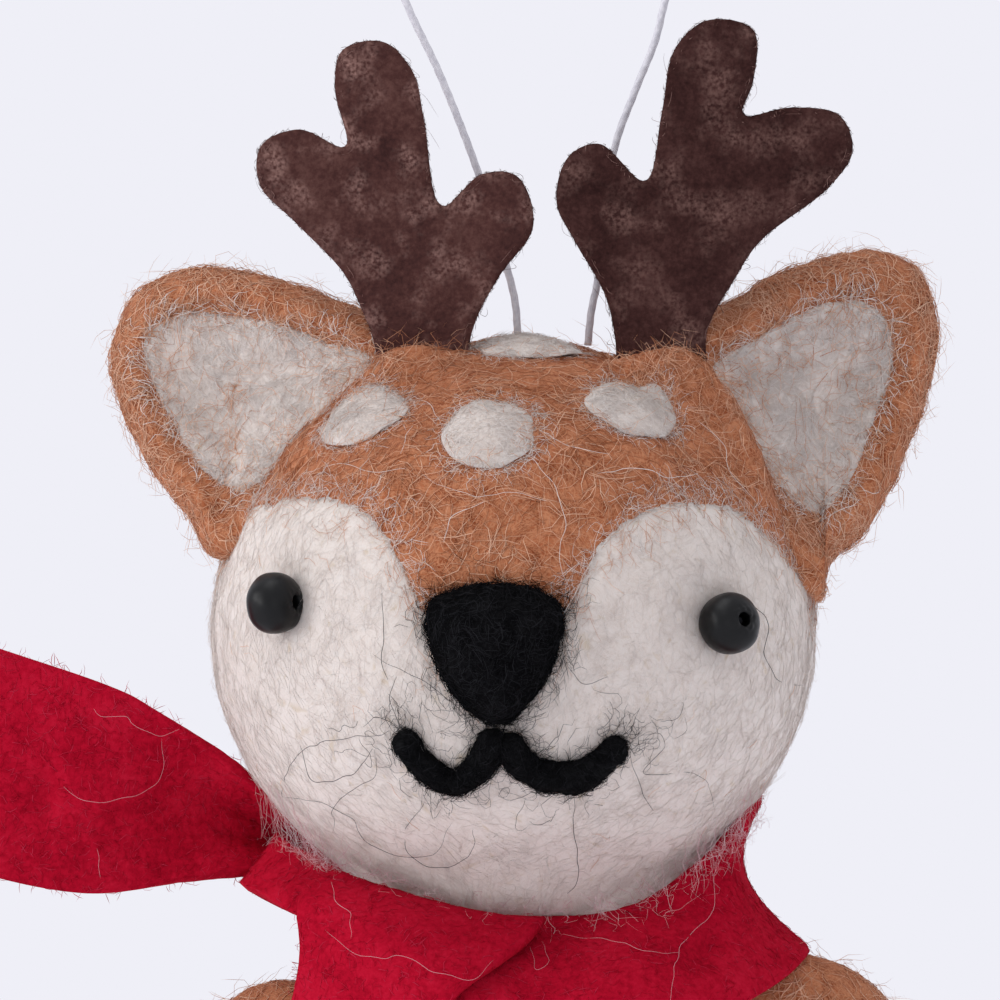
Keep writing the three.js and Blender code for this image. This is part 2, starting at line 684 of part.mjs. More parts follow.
const noseOutline = closedSpline(scaled(noseShares, noseWidth, noseHeight), 26);
const noseCentre = onFace(...atShares(nosePlaceShares), 0);
const nose = (grow) => padOnHead(noseCentre, noseOutline, noseRise, grow);
keep("nose", nose(0), blackWool);

const [mouthX, mouthZ] = atShares(mouthPlaceShares);
const stroke = (shares, grow) => {
  const route = shares.map(([a, b]) =>
    onFace(mouthX + a * half(mouthWidth), mouthZ + b * mouthDrop, clearance),
  );
  return limbSolid(route, half(mouthStroke), half(mouthStroke), grow);
};
const mouthCut = headRoom.add(nose(clearance));
keep("mouth_left", stroke(mouthLeftShares, 0).subtract(mouthCut), blackWool);
const mouthRightCut = mouthCut.add(stroke(mouthLeftShares, clearance));
keep("mouth_right", stroke(mouthRightShares, 0).subtract(mouthRightCut), blackWool);

const loopInHead = threadSolid(
  loopPoints.map((p) => p.clone().sub(headAt)),
  threadDiameter + 2 * clearance,
  loopSteps,
  threadSides,
);
for (const [name, place] of Object.entries(spotPlaceShares)) {
  const pad = padOnHead(onFace(...atShares(place), 0), circle(spotDiameter, spotDiameter, 18), spotRise);
  keep(name, pad.subtract(antlerRoom), whiteWool);
}
const crown = onHead(vec(...crownSpotDirectionShares), 0);
const crownPad = padOnHead(crown, circle(crownSpotWidth, spotDiameter, 18), spotRise);
keep("spot_crown", crownPad.subtract(antlerRoom).subtract(loopInHead).subtract(stitchRoom), whiteWool);

// Body, in the head's frame

function torso(grow) {
  const profile = new THREE.SplineCurve(
    bodyShares.map(([r, drop]) => new THREE.Vector2(r * half(bodyWidth), -drop * bodyHeight)),
  );
  const points = profile.getPoints(12).map((p) => {
    const radius = p.x > 0 ? p.x + grow : 0;
    const stretch = (bodyHeight + 2 * grow) / bodyHeight;
    return new THREE.Vector2(radius, grow + p.y * stretch);
  });
  points[0].x = 0;
  points[points.length - 1].x = 0;
  const form = new THREE.LatheGeometry(points, 22);
  form.rotateX(90 * deg);
  form.scale(1, (half(bodyDepth) + grow) / (half(bodyWidth) + grow), 1);
  form.translate(bodyAt.x, bodyAt.y, bodyAt.z);
  return solidOf(form);
}
const onBody = ([a, b, c]) =>
  bodyAt.clone().add(vec(a * half(bodyWidth), b * half(bodyDepth), c * bodyHeight));

function upright(diameter, from, to) {
  const form = new THREE.CylinderGeometry(half(diameter), half(diameter), to - from, 18);
  form.rotateX(90 * deg);
  form.translate(bodyAt.x, bodyAt.y, half(from + to));
  return solidOf(form);
}

const limbs = {
  arm_left: [armLeftShares, armDiameter, wristDiameter, handHoof, "hand_hoof_left"],
  arm_right: [armRightShares, armDiameter, wristDiameter, handHoof, "hand_hoof_right"],
  leg_left: [legLeftShares, legDiameter, ankleDiameter, footHoof, "foot_hoof_left"],
  leg_right: [legRightShares, legDiameter, ankleDiameter, footHoof, "foot_hoof_right"],
};
let limbRoom = null;
for (const [name, [shares, rootSize, tipSize, hoof, hoofName]] of Object.entries(limbs)) {
  const route = shares.map(onBody);
  const whole = limbSolid(route, half(rootSize), half(tipSize));
  const tip = route.at(-1);
  const tangent = tip.clone().sub(route.at(-2)).normalize();
  const past = (distance) => {
    const block = new THREE.BoxGeometry(overrun, overrun, overrun);
    block.translate(0, 0, half(overrun));
    block.applyQuaternion(new THREE.Quaternion().setFromUnitVectors(vec(0, 0, 1), tangent));
    const start = tip.clone().addScaledVector(tangent, -distance);
    block.translate(start.x, start.y, start.z);
    return solidOf(block);
  };
  keep(name, whole.subtract(past(hoof + clearance)), tanWool);
  keep(hoofName, whole.intersect(past(hoof)), hoofWool);
  for (const share of [-1, 0, 1]) {
    const turned = limbSolid(route, half(rootSize), half(tipSize), clearance, share * limbSwingDegrees);
    limbRoom = limbRoom ? limbRoom.add(turned) : turned;
  }
}

const bodyRoom = torso(clearance);
const bodyCore = torso(-coatThickness - clearance);
const peg = half(neckDiameter);
const pegRoom = upright(peg + 2 * clearance, bodyAt.z - half(bodyHeight), bodyAt.z + neckLength);
keep("body_core", bodyCore.subtract(limbRoom), coreWool);
keep("body_coat", torso(0).subtract(torso(-coatThickness)).subtract(limbRoom).subtract(pegRoom), tanWool);
const collar = upright(neckDiameter, bodyAt.z - neckLength, bodyAt.z + 2 * neckLength).subtract(headRoom);
const neckPeg = upright(peg, bodyAt.z - 2 * neckLength, bodyAt.z + half(neckLength));
const stem = collar.subtract(bodyRoom).add(neckPeg.subtract(headRoom));
keep("neck_stem", stem.subtract(torso(-coatThickness)).subtract(limbRoom), coreWool);

const tailRoot = onBody(tailPlaceShares);
const tailTip = tailRoot.clone().addScaledVector(vec(...tailTipShares), tailLength);
const tailRoute = [tailRoot, tailRoot.clone().lerp(tailTip, 1 / 2), tailTip];
const tailForm = limbSolid(tailRoute, half(tailDiameter), tailTaperShare * half(tailDiameter));
keep("tail", tailForm.subtract(bodyRoom), tanWool);

// Scarf

const wrapTop = wrapTopShare * headHalf.z;
const wrapAside = wrapAsideShare * headHalf.x;
const wrapColumns = wrapStationShares[0].map(
  (_, column) =>
    new THREE.CatmullRomCurve3(wrapStationShares.map((row) => vec(row[column], 0, 0)), true, "catmullrom"),
);
const wrapValues = (turn) => wrapColumns.map((curve) => curve.getPoint(((turn % 1) + 1) % 1).x);

function wrapPoint(turn, down, lift = 0) {
  const [topRadius, topDrop, waist, lowRadius, lowDrop] = wrapValues(turn);
  const bulge = waist * Math.sin(Math.PI * down);
  const radius = (THREE.MathUtils.lerp(topRadius, lowRadius, down) + bulge) * wrapRadius + lift;
  const angle = turn * 360 * deg;
  const z = wrapTop - scarfStrip * THREE.MathUtils.lerp(topDrop, lowDrop, down);
  return vec(wrapAside + radius * Math.cos(angle), -radius * Math.sin(angle), z);
}
const wrapSteps = 40;
const wrapRows = 5;
const wrapSheet = sheetSolid((u, v) => wrapPoint(u, v), scarfSheet, wrapSteps, wrapRows, true);
keep("scarf_wrap", wrapSheet.subtract(headRoom).subtract(limbRoom).subtract(bodyRoom), redFelt);

// The way off the wrap at a place: as far from its outer face as it is from its axis
function offWrap(turn, down) {
  const step = 1e-3;
  const around = wrapPoint(turn + step, down).sub(wrapPoint(turn - step, down));
  const [high, low] = [Math.max(down - step, 0), Math.min(down + step, 1)];
  const normal = around.cross(wrapPoint(turn, low).sub(wrapPoint(turn, high))).normalize();
  const radial = vec(Math.cos(turn * 360 * deg), -Math.sin(turn * 360 * deg), 0);
  const cosine = normal.dot(radial);
  return normal.add(radial).divideScalar(1 + cosine);
}

// The front tail lies over the wrap down to its low edge, then hangs straight down
const layerStep = layerStepShare * (scarfSheet + clearance);
function frontTailPoint(u, v) {
  const turn = THREE.MathUtils.lerp(through(frontTailRightTurns, v), through(frontTailLeftTurns, v), u);
  const overWrap = wrapPoint(turn, frontTailStartShare).distanceTo(wrapPoint(turn, 1));
  const travelled = v * frontTailLength;
  const down = THREE.MathUtils.lerp(frontTailStartShare, 1, Math.min(travelled / overWrap, 1));
  const lifted = wrapPoint(turn, down).addScaledVector(offWrap(turn, down), layerStep);
  return lifted.setZ(lifted.z - Math.max(travelled - overWrap, 0));
}
keep("scarf_front_tail", sheetSolid(frontTailPoint, scarfSheet, 10, 20, false), redFelt);

// The side tail opens out of a pinch at the wrap's left
const sideTailAt = vec(...[0, 1, 2].map((axis) => sideTailPlaceShares[axis] * headHalf.getComponent(axis)));
const sideTailRoute = new THREE.CatmullRomCurve3(
  sideTailRouteShares.map(([a, b, c]) => vec(a, b, c).multiplyScalar(sideTailLength).add(sideTailAt)),
);
function sideTailPoint(u, v) {
  const centre = sideTailRoute.getPoint(v);
  const tangent = sideTailRoute.getTangent(Math.min(Math.max(v, 0), 1));
  const up = vec(0, 0, 1).addScaledVector(tangent, -tangent.z).normalize();
  const open = through(sideTailOpenShares, v);
  const across = (u - 1 / 2) * scarfStrip;
  const curl = sideTailCurlShare * scarfStrip * Math.max(1 - open, 0) * Math.cos(Math.PI * (u - 1 / 2));
  return centre.addScaledVector(up, across * open).add(vec(0, curl, 0));
}
// The space of the head and of the wrap with its felt, turned about the pinch
function wrapRoom(turnDegrees) {
  const lift = half(scarfSheet) + clearance;
  const rings = Array.from({ length: wrapRows }, (_, row) => {
    const rise = row === 0 ? lift : row === wrapRows - 1 ? -lift : 0;
    const down = row / (wrapRows - 1);
    return Array.from({ length: wrapSteps }, (_, i) => wrapPoint(i / wrapSteps, down, lift).add(vec(0, 0, rise)));
  });
  const away = sideTailAt.clone().negate().toArray();
  return ringSolid(rings).add(headRoom).translate(away).rotate([0, 0, turnDegrees]).translate(sideTailAt.toArray());
}
const swing = sideTailSwingDegrees;
const tailRoom = wrapRoom(-swing).add(wrapRoom(0)).add(wrapRoom(swing));
keep("scarf_side_tail", sheetSolid(sideTailPoint, scarfSheet, 8, 14, false).subtract(tailRoom), redFelt);

// Assembly: the loop hangs at the origin, and everything else is placed with the head

const ornament = new THREE.Group();
const toy = new THREE.Group();
toy.position.copy(headAt);
ornament.add(toy);
for (const [name, { solid, material }] of nodes) {
  const mesh = new THREE.Mesh(geometryOf(solid), material);
  mesh.name = name;
  (name === "hanging_cord" || name === "cord_knot" ? ornament : toy).add(mesh);
}

export default ornament;
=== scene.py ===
# %% [markdown]
# A felted reindeer ornament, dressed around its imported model.
# Needle felt is loose wool that is stabbed with a barbed needle until its fibres lock together.
# So every soft piece here is made twice over: once as a lumpy closed skin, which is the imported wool,
# and once as thousands of separate fibres that lie on that skin, cross each other and stand off it.

# %% Load the frame
import math

import bpy
import numpy as np
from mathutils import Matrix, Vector


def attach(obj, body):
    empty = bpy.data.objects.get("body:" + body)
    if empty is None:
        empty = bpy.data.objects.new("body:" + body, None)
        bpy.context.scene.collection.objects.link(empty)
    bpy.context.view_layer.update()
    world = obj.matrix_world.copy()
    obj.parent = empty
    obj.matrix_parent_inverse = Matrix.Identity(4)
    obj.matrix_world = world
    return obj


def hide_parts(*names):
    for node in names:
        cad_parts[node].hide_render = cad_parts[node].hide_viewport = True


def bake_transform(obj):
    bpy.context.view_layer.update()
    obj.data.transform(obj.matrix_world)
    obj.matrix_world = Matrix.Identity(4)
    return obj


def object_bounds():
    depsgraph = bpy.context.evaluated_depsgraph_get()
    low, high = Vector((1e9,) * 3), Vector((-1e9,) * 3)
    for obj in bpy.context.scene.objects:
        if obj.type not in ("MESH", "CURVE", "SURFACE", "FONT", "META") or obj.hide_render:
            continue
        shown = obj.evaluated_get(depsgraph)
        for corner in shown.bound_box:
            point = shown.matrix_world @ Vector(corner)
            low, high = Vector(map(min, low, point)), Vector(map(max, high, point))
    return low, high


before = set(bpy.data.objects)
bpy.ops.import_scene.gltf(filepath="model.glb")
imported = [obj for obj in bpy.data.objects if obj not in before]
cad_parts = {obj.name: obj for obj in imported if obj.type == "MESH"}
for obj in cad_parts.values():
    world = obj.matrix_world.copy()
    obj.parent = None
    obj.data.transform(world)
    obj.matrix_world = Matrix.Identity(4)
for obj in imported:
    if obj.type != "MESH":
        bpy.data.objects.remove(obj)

cad_low, cad_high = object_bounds()
print("frame box in metres", list(cad_low), list(cad_high))

# %% [markdown]
# Lengths are written in millimetres and multiplied by MM, because Blender works in metres.
# Left and right are the viewer's, facing the face, which looks towards -Y. FIBRE_SHARE thins every set
# of fibres alike, and is chosen so that the whole object stays under two million triangles.

# %% Driving sizes
MM = 0.001
TURN = 2 * math.pi
HEAD_MIDDLE = np.array([-1.7, 0.4, -79.6]) * MM
HEAD_HALF = np.array([48.2, 46.0, 46.0]) * MM / 2
THREAD_DIAMETER = 0.62 * MM
FELT_SHEET = 1.1 * MM
SCARF_STRIP = 16.6 * MM
FIBRE = 0.06 * MM
FINE_FIBRE = 0.045 * MM
HAIR = 0.034 * MM
FINE_HAIR = 0.03 * MM
CURL_HAIR = 0.026 * MM
FIBRE_SHARE = 0.88
STAGE_GAP = 16 * MM

# %% [markdown]
# The camera stands level with the face and looks straight at it through a long lens, so that near
# and far parts keep the same scale. One pixel of the photograph is 0.08 mm at the middle of the head,
# and the centre of the head lies on pixel (514, 628) of its 1000 by 1000 frame.

# %% Camera
PIXEL = 0.08 * MM
FRAME_PIXELS = 1000
HEAD_PIXEL_X = 514
HEAD_PIXEL_Y = 628
CAMERA_DISTANCE = 1200 * MM
SENSOR = 36.0
NEAR_CLIP = 0.01
FAR_CLIP = 10

camera_data = bpy.data.cameras.new("camera")
camera_data.sensor_width = SENSOR
camera_data.lens = SENSOR * CAMERA_DISTANCE / (FRAME_PIXELS * PIXEL)
camera_data.clip_start = NEAR_CLIP
camera_data.clip_end = FAR_CLIP
camera = bpy.data.objects.new("camera", camera_data)
camera.location = (
    HEAD_MIDDLE[0] + (FRAME_PIXELS / 2 - HEAD_PIXEL_X) * PIXEL,
    -CAMERA_DISTANCE,
    HEAD_MIDDLE[2] - (FRAME_PIXELS / 2 - HEAD_PIXEL_Y) * PIXEL,
)
camera.rotation_euler = (math.radians(90), 0, 0)
bpy.context.scene.collection.objects.link(camera)
bpy.context.scene.camera = camera
bpy.context.scene.view_settings.view_transform = "Standard"
print("camera looks along +Y from", [round(c, 4) for c in camera.location])

# %% [markdown]
# Shapes are worked out as arrays of points. The first helper draws a smooth line through a few chosen
# points. The next ones turn rings of points into a closed mesh whose faces point outwards.


# %% Smooth lines
def smooth_line(points, t, closed=False, even=0.5):
    """Points at the shares t of a Catmull-Rom line: between two points it is the cubic that leaves and
    arrives along the direction of their neighbours, with each step's time its length to the power even."""
    points = np.asarray(points, float)
    if points.ndim == 1:
        points = points[:, None]
    count = len(points)
    t = np.asarray(t, float)
    spans = count if closed else count - 1
    place = np.mod(t, 1) * spans if closed else np.clip(t, 0, 1) * spans
    span = np.minimum(place.astype(int), spans - 1)
    f = (place - span)[..., None]
    if closed:
        before, start, end, after = (points[(span + k) % count] for k in (-1, 0, 1, 2))
    else:
        padded = np.vstack([2 * points[0] - points[1], points, 2 * points[-1] - points[-2]])
        before, start, end, after = (padded[span + k] for k in (0, 1, 2, 3))

    def step(a, b):
        return np.maximum(np.linalg.norm(b - a, axis=-1, keepdims=True) ** even, 1e-9)

    d0, d1, d2 = step(before, start), step(start, end), step(end, after)
    leave = d1 * ((start - before) / d0 - (end - before) / (d0 + d1) + (end - start) / d1)
    arrive = d1 * ((end - start) / d1 - (after - start) / (d1 + d2) + (after - end) / d2)
    return (
        (2 * f**3 - 3 * f**2 + 1) * start
        + (f**3 - 2 * f**2 + f) * leave
        + (3 * f**2 - 2 * f**3) * end
        + (f**3 - f**2) * arrive
    )


def smooth_value(values, t, closed=False):
    """One number that runs smoothly through a list of numbers as t goes from 0 to 1."""
    return smooth_line(values, t, closed, even=0)[..., 0]


def unit(vectors):
    """Vectors of the same directions, one metre long."""
    return vectors / np.maximum(np.linalg.norm(vectors, axis=-1, keepdims=True), 1e-12)


def ease(x):
    """0 below 0 and 1 above 1, with a smooth rise between."""
    x = np.clip(x, 0, 1)
    return x * x * (3 - 2 * x)


# %% Meshes from arrays
def mesh_piece(name, points, triangles, material, tone=None):
    """A mesh object from an array of points and an array of corner numbers, with its faces turned out:
    the sum of the signed volumes under its triangles says which way they face. Skins are shaded smooth,
    and fibres, which have a tone, flat."""
    a, b, c = (points[triangles[:, k]] - points.mean(0) for k in range(3))
    if np.einsum("ij,ij->i", a, np.cross(b, c)).sum() < 0:
        triangles = triangles[:, ::-1]
    mesh = bpy.data.meshes.new(name)
    mesh.vertices.add(len(points))
    mesh.vertices.foreach_set("co", points.astype(np.float32).ravel())
    mesh.loops.add(triangles.size)
    mesh.loops.foreach_set("vertex_index", triangles.astype(np.int32).ravel())
    mesh.polygons.add(len(triangles))
    mesh.polygons.foreach_set("loop_start", np.arange(0, triangles.size, 3, dtype=np.int32))
    if tone is not None:
        attribute = mesh.attributes.new("tone", "FLOAT", "POINT")
        attribute.data.foreach_set("value", tone.astype(np.float32))
    mesh.update(calc_edges=True)
    mesh.validate()
    if tone is None:
        mesh.shade_smooth()
    mesh.materials.append(material)
    piece = bpy.data.objects.new(name, mesh)
    bpy.context.scene.collection.objects.link(piece)
    return piece


def grid_triangles(rows, columns, wrap_rows=False, wrap_columns=False):
    """Two triangles for each cell of a grid of points, numbered row by row."""
    r, c = np.meshgrid(
        np.arange(rows if wrap_rows else rows - 1),
        np.arange(columns if wrap_columns else columns - 1),
        indexing="ij",
    )
    r, c = r.ravel(), c.ravel()
    below, right = (r + 1) % rows, (c + 1) % columns
    p, q = r * columns + c, r * columns + right
    s, t = below * columns + c, below * columns + right
    return np.vstack([np.stack([p, q, t], 1), np.stack([p, t, s], 1)])


def closed_skin(rings, start, end):
    """A closed skin over rings of points, shaped (rows, columns, 3), with a fan of triangles to a single
    point at each end."""
    rows, columns = rings.shape[:2]
    points = np.vstack([rings.reshape(-1, 3), start, end])
    ring = np.arange(columns)
    beside = (ring + 1) % columns
    first = np.stack([np.full(columns, rows * columns), beside, ring], 1)
    last_row = (rows - 1) * columns
    last = np.stack([np.full(columns, rows * columns + 1), last_row + ring, last_row + beside], 1)
    return points, np.vstack([grid_triangles(rows, columns, wrap_columns=True), first, last])


def skin_of(surface, rows, columns):
    """A closed skin over a surface whose v runs from one pole to the other and whose u goes round."""
    v, u = np.meshgrid(np.linspace(0, 1, rows + 2)[1:-1], np.arange(columns) / columns, indexing="ij")
    ends = surface(np.array([0.0, 0.0]), np.array([0.0, 1.0]))
    return closed_skin(surface(u, v), ends[:1], ends[1:])


# %% [markdown]
# Wool is never smooth. The unevenness is a sum of waves that run in random directions: long ones for
# the lumps that the needle leaves, and short ones for the locks of wool on top.


# %% Unevenness
def lumps(points, wavelength, seed, waves=20):
    """Soft unevenness of about -1 to 1: the sum of waves of about one length in random directions."""
    rng = np.random.default_rng(seed)
    ways = unit(rng.normal(size=(waves, 3)))
    rate = TURN / (wavelength * rng.uniform(0.7, 1.4, waves))
    phase = rng.uniform(0, TURN, waves)
    return np.sin(points @ (ways * rate[:, None]).T + phase).sum(-1) / math.sqrt(2 * waves)


def wool_lift(points, seed, depth=0.2 * MM):
    """How far packed wool stands off its mean surface: long lumps, locks and a fine grain."""
    return depth * (
        lumps(points, 7 * MM, seed)
        + 0.5 * lumps(points, 2.6 * MM, seed + 1)
        + 0.22 * lumps(points, 1.1 * MM, seed + 2)
    )


# %% [markdown]
# A fibre is a line that wanders over a surface. At each step it turns a little, which curls it, and it
# is kept on the surface by solving its step in the surface's own two directions. Its height over the
# surface is separate: most fibres lie flat, and some arch off it. Every fibre is then a closed
# three-sided spindle with pointed ends, because loops of a few dozen faces can be repeated thousands
# of times. One of its sides faces off the surface, so it takes the light as the wool round it does.


# %% Fibres
WHOLE = (0.002, 0.998)
LOCK_SIZE = 8 * MM
LOCK_TURN = 2.4
OWN_TURN = 1.2


def surface_frame(surface, u, v):
    """A surface's point, its two directions per unit of u and v, and its outward normal."""
    step = 1e-4
    point = surface(u, v)
    along_u = (surface(u + step, v) - surface(u - step, v)) / (2 * step)
    low, high = np.clip(v - step, 0, 1), np.clip(v + step, 0, 1)
    along_v = (surface(u, high) - surface(u, low)) / (high - low)[..., None]
    return point, along_u, along_v, unit(np.cross(along_u, along_v))


def way_out(surface):
    """1 if the surface's own normals point away from its middle, or else -1."""
    v, u = np.meshgrid(np.linspace(0.01, 0.99, 60), np.arange(60) / 60, indexing="ij")
    point, along_u, along_v, _ = surface_frame(surface, u, v)
    return float(np.sign((np.cross(along_u, along_v) * (point - point.mean((0, 1)))).sum()))


def scatter(surface, count, rng, weight=None, v_range=WHOLE):
    """Random places on a surface, as many on each square millimetre, or more where weight is larger."""
    rows, columns = 80, 180
    v, u = np.meshgrid(
        v_range[0] + (np.arange(rows) + 0.5) / rows * (v_range[1] - v_range[0]),
        (np.arange(columns) + 0.5) / columns,
        indexing="ij",
    )
    point, along_u, along_v, _ = surface_frame(surface, u, v)
    share = np.linalg.norm(np.cross(along_u, along_v), axis=-1)
    if weight is not None:
        share = share * np.maximum(weight(point), 0)
    share = share.ravel() / share.sum()
    cell = rng.choice(rows * columns, count, p=share)
    u0 = u.ravel()[cell] + rng.uniform(-0.5, 0.5, count) / columns
    v0 = v.ravel()[cell] + rng.uniform(-0.5, 0.5, count) * (v_range[1] - v_range[0]) / rows
    return u0, np.clip(v0, *v_range)


def wander(surface, u, v, length, steps, curl, rise, rng, heading, outward=1.0):
    """Lines over a surface: (count, steps + 1, 3) points and the normals under them. The heading turns
    by a steady curl and by slow waves, and the height over the surface follows rise."""
    count, angle = len(u), heading
    steady = rng.normal(0, curl, count)
    waves = rng.normal(0, curl, (count, 2))
    phase = rng.uniform(0, TURN, (count, 2))
    stride = length / steps
    points = np.zeros((count, steps + 1, 3))
    normals = np.zeros((count, steps + 1, 3))
    for k in range(steps + 1):
        point, along_u, along_v, normal = surface_frame(surface, u, v)
        t = k / steps
        points[:, k] = point + normal * (rise(t) * outward)[:, None]
        normals[:, k] = normal * outward
        east = unit(along_u)
        north = np.cross(normal, east)
        way = np.cos(angle)[:, None] * east + np.sin(angle)[:, None] * north
        g11, g12, g22 = (np.einsum("ij,ij->i", a, b) for a, b in (
            (along_u, along_u), (along_u, along_v), (along_v, along_v)))
        b1, b2 = (np.einsum("ij,ij->i", way, a) for a in (along_u, along_v))
        det = np.maximum(g11 * g22 - g12 * g12, 1e-16)
        u = u + np.clip(stride * (b1 * g22 - b2 * g12) / det, -0.1, 0.1)
        v = np.clip(v + np.clip(stride * (b2 * g11 - b1 * g12) / det, -0.1, 0.1), 0.001, 0.999)
        bend = steady + (waves * np.sin(TURN * np.array([1.0, 2.3]) * t + phase)).sum(1)
        angle = angle + bend * stride
    return points, normals


def fibre_mesh(points, normals, width, tone):
    """Closed spindles along lines: three corners round each inner point and one point at each end."""
    count, stations = points.shape[:2]
    tangent = unit(np.gradient(points, axis=1))
    side = unit(np.cross(tangent, normals))
    up = np.cross(side, tangent)
    around = np.array([-1 / 2, 1 / 6, 5 / 6]) * math.pi
    taper = np.sin(np.linspace(0.06, 0.94, stations) * math.pi)[None, 1:-1, None, None] ** 0.5
    ring = (
        np.cos(around)[None, None, :, None] * side[:, 1:-1, None, :]
        + np.sin(around)[None, None, :, None] * up[:, 1:-1, None, :]
    )
    half = np.broadcast_to(np.asarray(width) / 2, (count,))[:, None, None, None]
    rings = points[:, 1:-1, None, :] + ring * half * taper
    corners = np.concatenate([rings.reshape(count, -1, 3), points[:, :1], points[:, -1:]], 1)
    per_fibre = corners.shape[1]
    inner = stations - 2
    body = grid_triangles(inner, 3, wrap_columns=True)
    k = np.arange(3)
    first = np.stack([np.full(3, 3 * inner), (k + 1) % 3, k], 1)
    last = np.stack([np.full(3, 3 * inner + 1), 3 * (inner - 1) + k, 3 * (inner - 1) + (k + 1) % 3], 1)
    one = np.vstack([body, first, last])
    triangles = one[None] + (np.arange(count) * per_fibre)[:, None, None]
    return corners.reshape(-1, 3), triangles.reshape(-1, 3), np.repeat(tone, per_fibre)


def lying(rng, count, flat, arch):
    """Heights for fibres that lie on their surface, most nearly flat and a few arched off it."""
    top = flat + arch * rng.uniform(0, 1, count) ** 3
    return lambda t: -0.03 * MM + (0.03 * MM + top) * math.sin(math.pi * t) ** 0.7


def standing(rng, count, reach):
    """Heights for fibres that leave their surface at one end and stand off it at the other."""
    top = reach * rng.uniform(0.2, 1, count) ** 1.6
    bow = rng.uniform(0.7, 1.6, count)
    return lambda t: -0.05 * MM + top * t**bow


def lie(count, length, width=FIBRE, curl=450, flat=0.05, arch=0.28, **more):
    """A set of lying fibres; length, flat and arch in millimetres, curl in radians for each metre."""
    rise = lambda rng, n: lying(rng, n, flat * MM, arch * MM)
    return dict(count=count, length=length * MM, width=width, curl=curl, rise=rise, **more)


def stand(count, length, reach, width=HAIR, curl=700, **more):
    """A set of standing fibres, with their length and reach in millimetres."""
    rise = lambda rng, n: standing(rng, n, reach * MM)
    return dict(count=count, length=length * MM, width=width, curl=curl, rise=rise, **more)


def near_line(line, width):
    """A weight that is 1 on a line of points and falls off beside it as a bell of that width."""

    def weight(points):
        flat = points.reshape(-1, 3)
        square = (flat**2).sum(-1)[:, None] + (line**2).sum(-1)[None] - 2 * flat @ line.T
        return np.exp(-np.maximum(square, 0).min(-1) / width**2).reshape(points.shape[:-1])

    return weight


def mesh_of_sets(name, sets, material):
    """One mesh from several sets of fibres, each its points, triangles and tones."""
    starts = np.cumsum([0] + [len(points) for points, _, _ in sets[:-1]])
    triangles = np.vstack([faces + start for (_, faces, _), start in zip(sets, starts)])
    points = np.vstack([points for points, _, _ in sets])
    return mesh_piece(name, points, triangles, material, np.concatenate([tones for _, _, tones in sets]))


def fibres(name, surface, material, parts, seed):
    """One piece of fibres on a surface. A fibre's heading is a slow wave that its neighbours share, as in
    a lock of wool, with a spread of its own."""
    rng = np.random.default_rng(seed)
    outward = way_out(surface)
    parts = [dict(part, count=round(part["count"] * FIBRE_SHARE)) for part in parts]
    sets = []
    for part in parts:
        count, steps = part["count"], part.get("steps", 4)
        u, v = scatter(surface, count, rng, part.get("weight"), part.get("v_range", WHOLE))
        length = part["length"] * rng.uniform(0.6, 1.4, count)
        rise = part["rise"](rng, count)
        heading = LOCK_TURN * lumps(surface(u, v), LOCK_SIZE, seed + 7) + rng.normal(0, OWN_TURN, count)
        points, normals = wander(
            surface, u, v, length, steps, part["curl"], rise, rng, heading, part.get("outward", outward)
        )
        low, high = part.get("tone", (0.0, 1.0))
        width = part["width"] * rng.uniform(0.7, 1.3, count)
        sets.append(fibre_mesh(points, normals, width, rng.uniform(low, high, count)))
    piece = mesh_of_sets(name, sets, material)
    print(name, sum(part["count"] for part in parts), "fibres,", len(piece.data.polygons), "triangles")
    return piece


# %% [markdown]
# Materials come next. A hex colour is what a screen shows, so it is turned to linear light once, by one
# function. A single helper adds a shader node with its settings and links.


# %% Colour and shader helpers
def linear(hex_colour):
    """A screen colour such as 0xB98262 as linear red, green, blue and alpha."""
    channels = [(hex_colour >> shift & 255) / 255 for shift in (16, 8, 0)]
    return [c / 12.92 if c <= 0.04045 else ((c + 0.055) / 1.055) ** 2.4 for c in channels] + [1.0]


def add(tree, kind, inputs=None, **settings):
    """Adds one shader node of a kind. inputs maps a socket's name or number to a value, to another node,
    whose first output is then meant, or to one output of another node."""
    made = tree.nodes.new("ShaderNode" + kind)
    for name, value in settings.items():
        setattr(made, name, value)
    for name, value in (inputs or {}).items():
        if isinstance(value, bpy.types.Node):
            value = value.outputs[0]
        if isinstance(value, bpy.types.NodeSocket):
            tree.links.new(value, made.inputs[name])
        else:
            made.inputs[name].default_value = value
    return made


def new_material(name):
    """An empty node material and its tree."""
    material = bpy.data.materials.new(name)
    material.use_nodes = True
    material.node_tree.nodes.clear()
    return material, material.node_tree


def finish_material(tree, colour, roughness, sheen=0.0, bump=None, gloss=0.1):
    """The surface shader at the end of a material, with what most of them share."""
    inputs = {"Base Color": colour, "Roughness": roughness, "Specular IOR Level": gloss}
    inputs.update({"Sheen Weight": sheen, "Sheen Roughness": 0.6})
    if bump is not None:
        inputs["Normal"] = bump
    shader = add(tree, "BsdfPrincipled", inputs)
    add(tree, "OutputMaterial", {"Surface": shader})
    return shader


# %% [markdown]
# Needle-felted wool, close up, is a tangle: thin bright fibres cross over darker gaps. The darker gaps are
# painted shade: a noise of about 1.7 mm picks the deep places, gives them a darker colour and lowers the
# bump there. The lines where a soft 3-D noise passes its middle value are thin, curled and endless, which
# is what that tangle looks like; they take the top fibres' paler colour, partly their own tone and partly
# painted light. Three such noises of different grain, about 1, 0.6 and 0.4 mm, are laid over each other.
# They are bent by a slower noise so that the locks swirl, and the same lines lift the bump a little. The
# fibres that are modelled lie on top of this ground.


# %% Felted wool
STRAND_GRAINS = (1.0 * MM, 0.62 * MM, 0.4 * MM)
SWIRL_SIZE = 6 * MM
SWIRL_REACH = 7 * MM
SHADED_GAP_SIZE = 1.7 * MM
FLECK_SIZE = 1.2 * MM
GLOW_REACH = 1.2 * MM


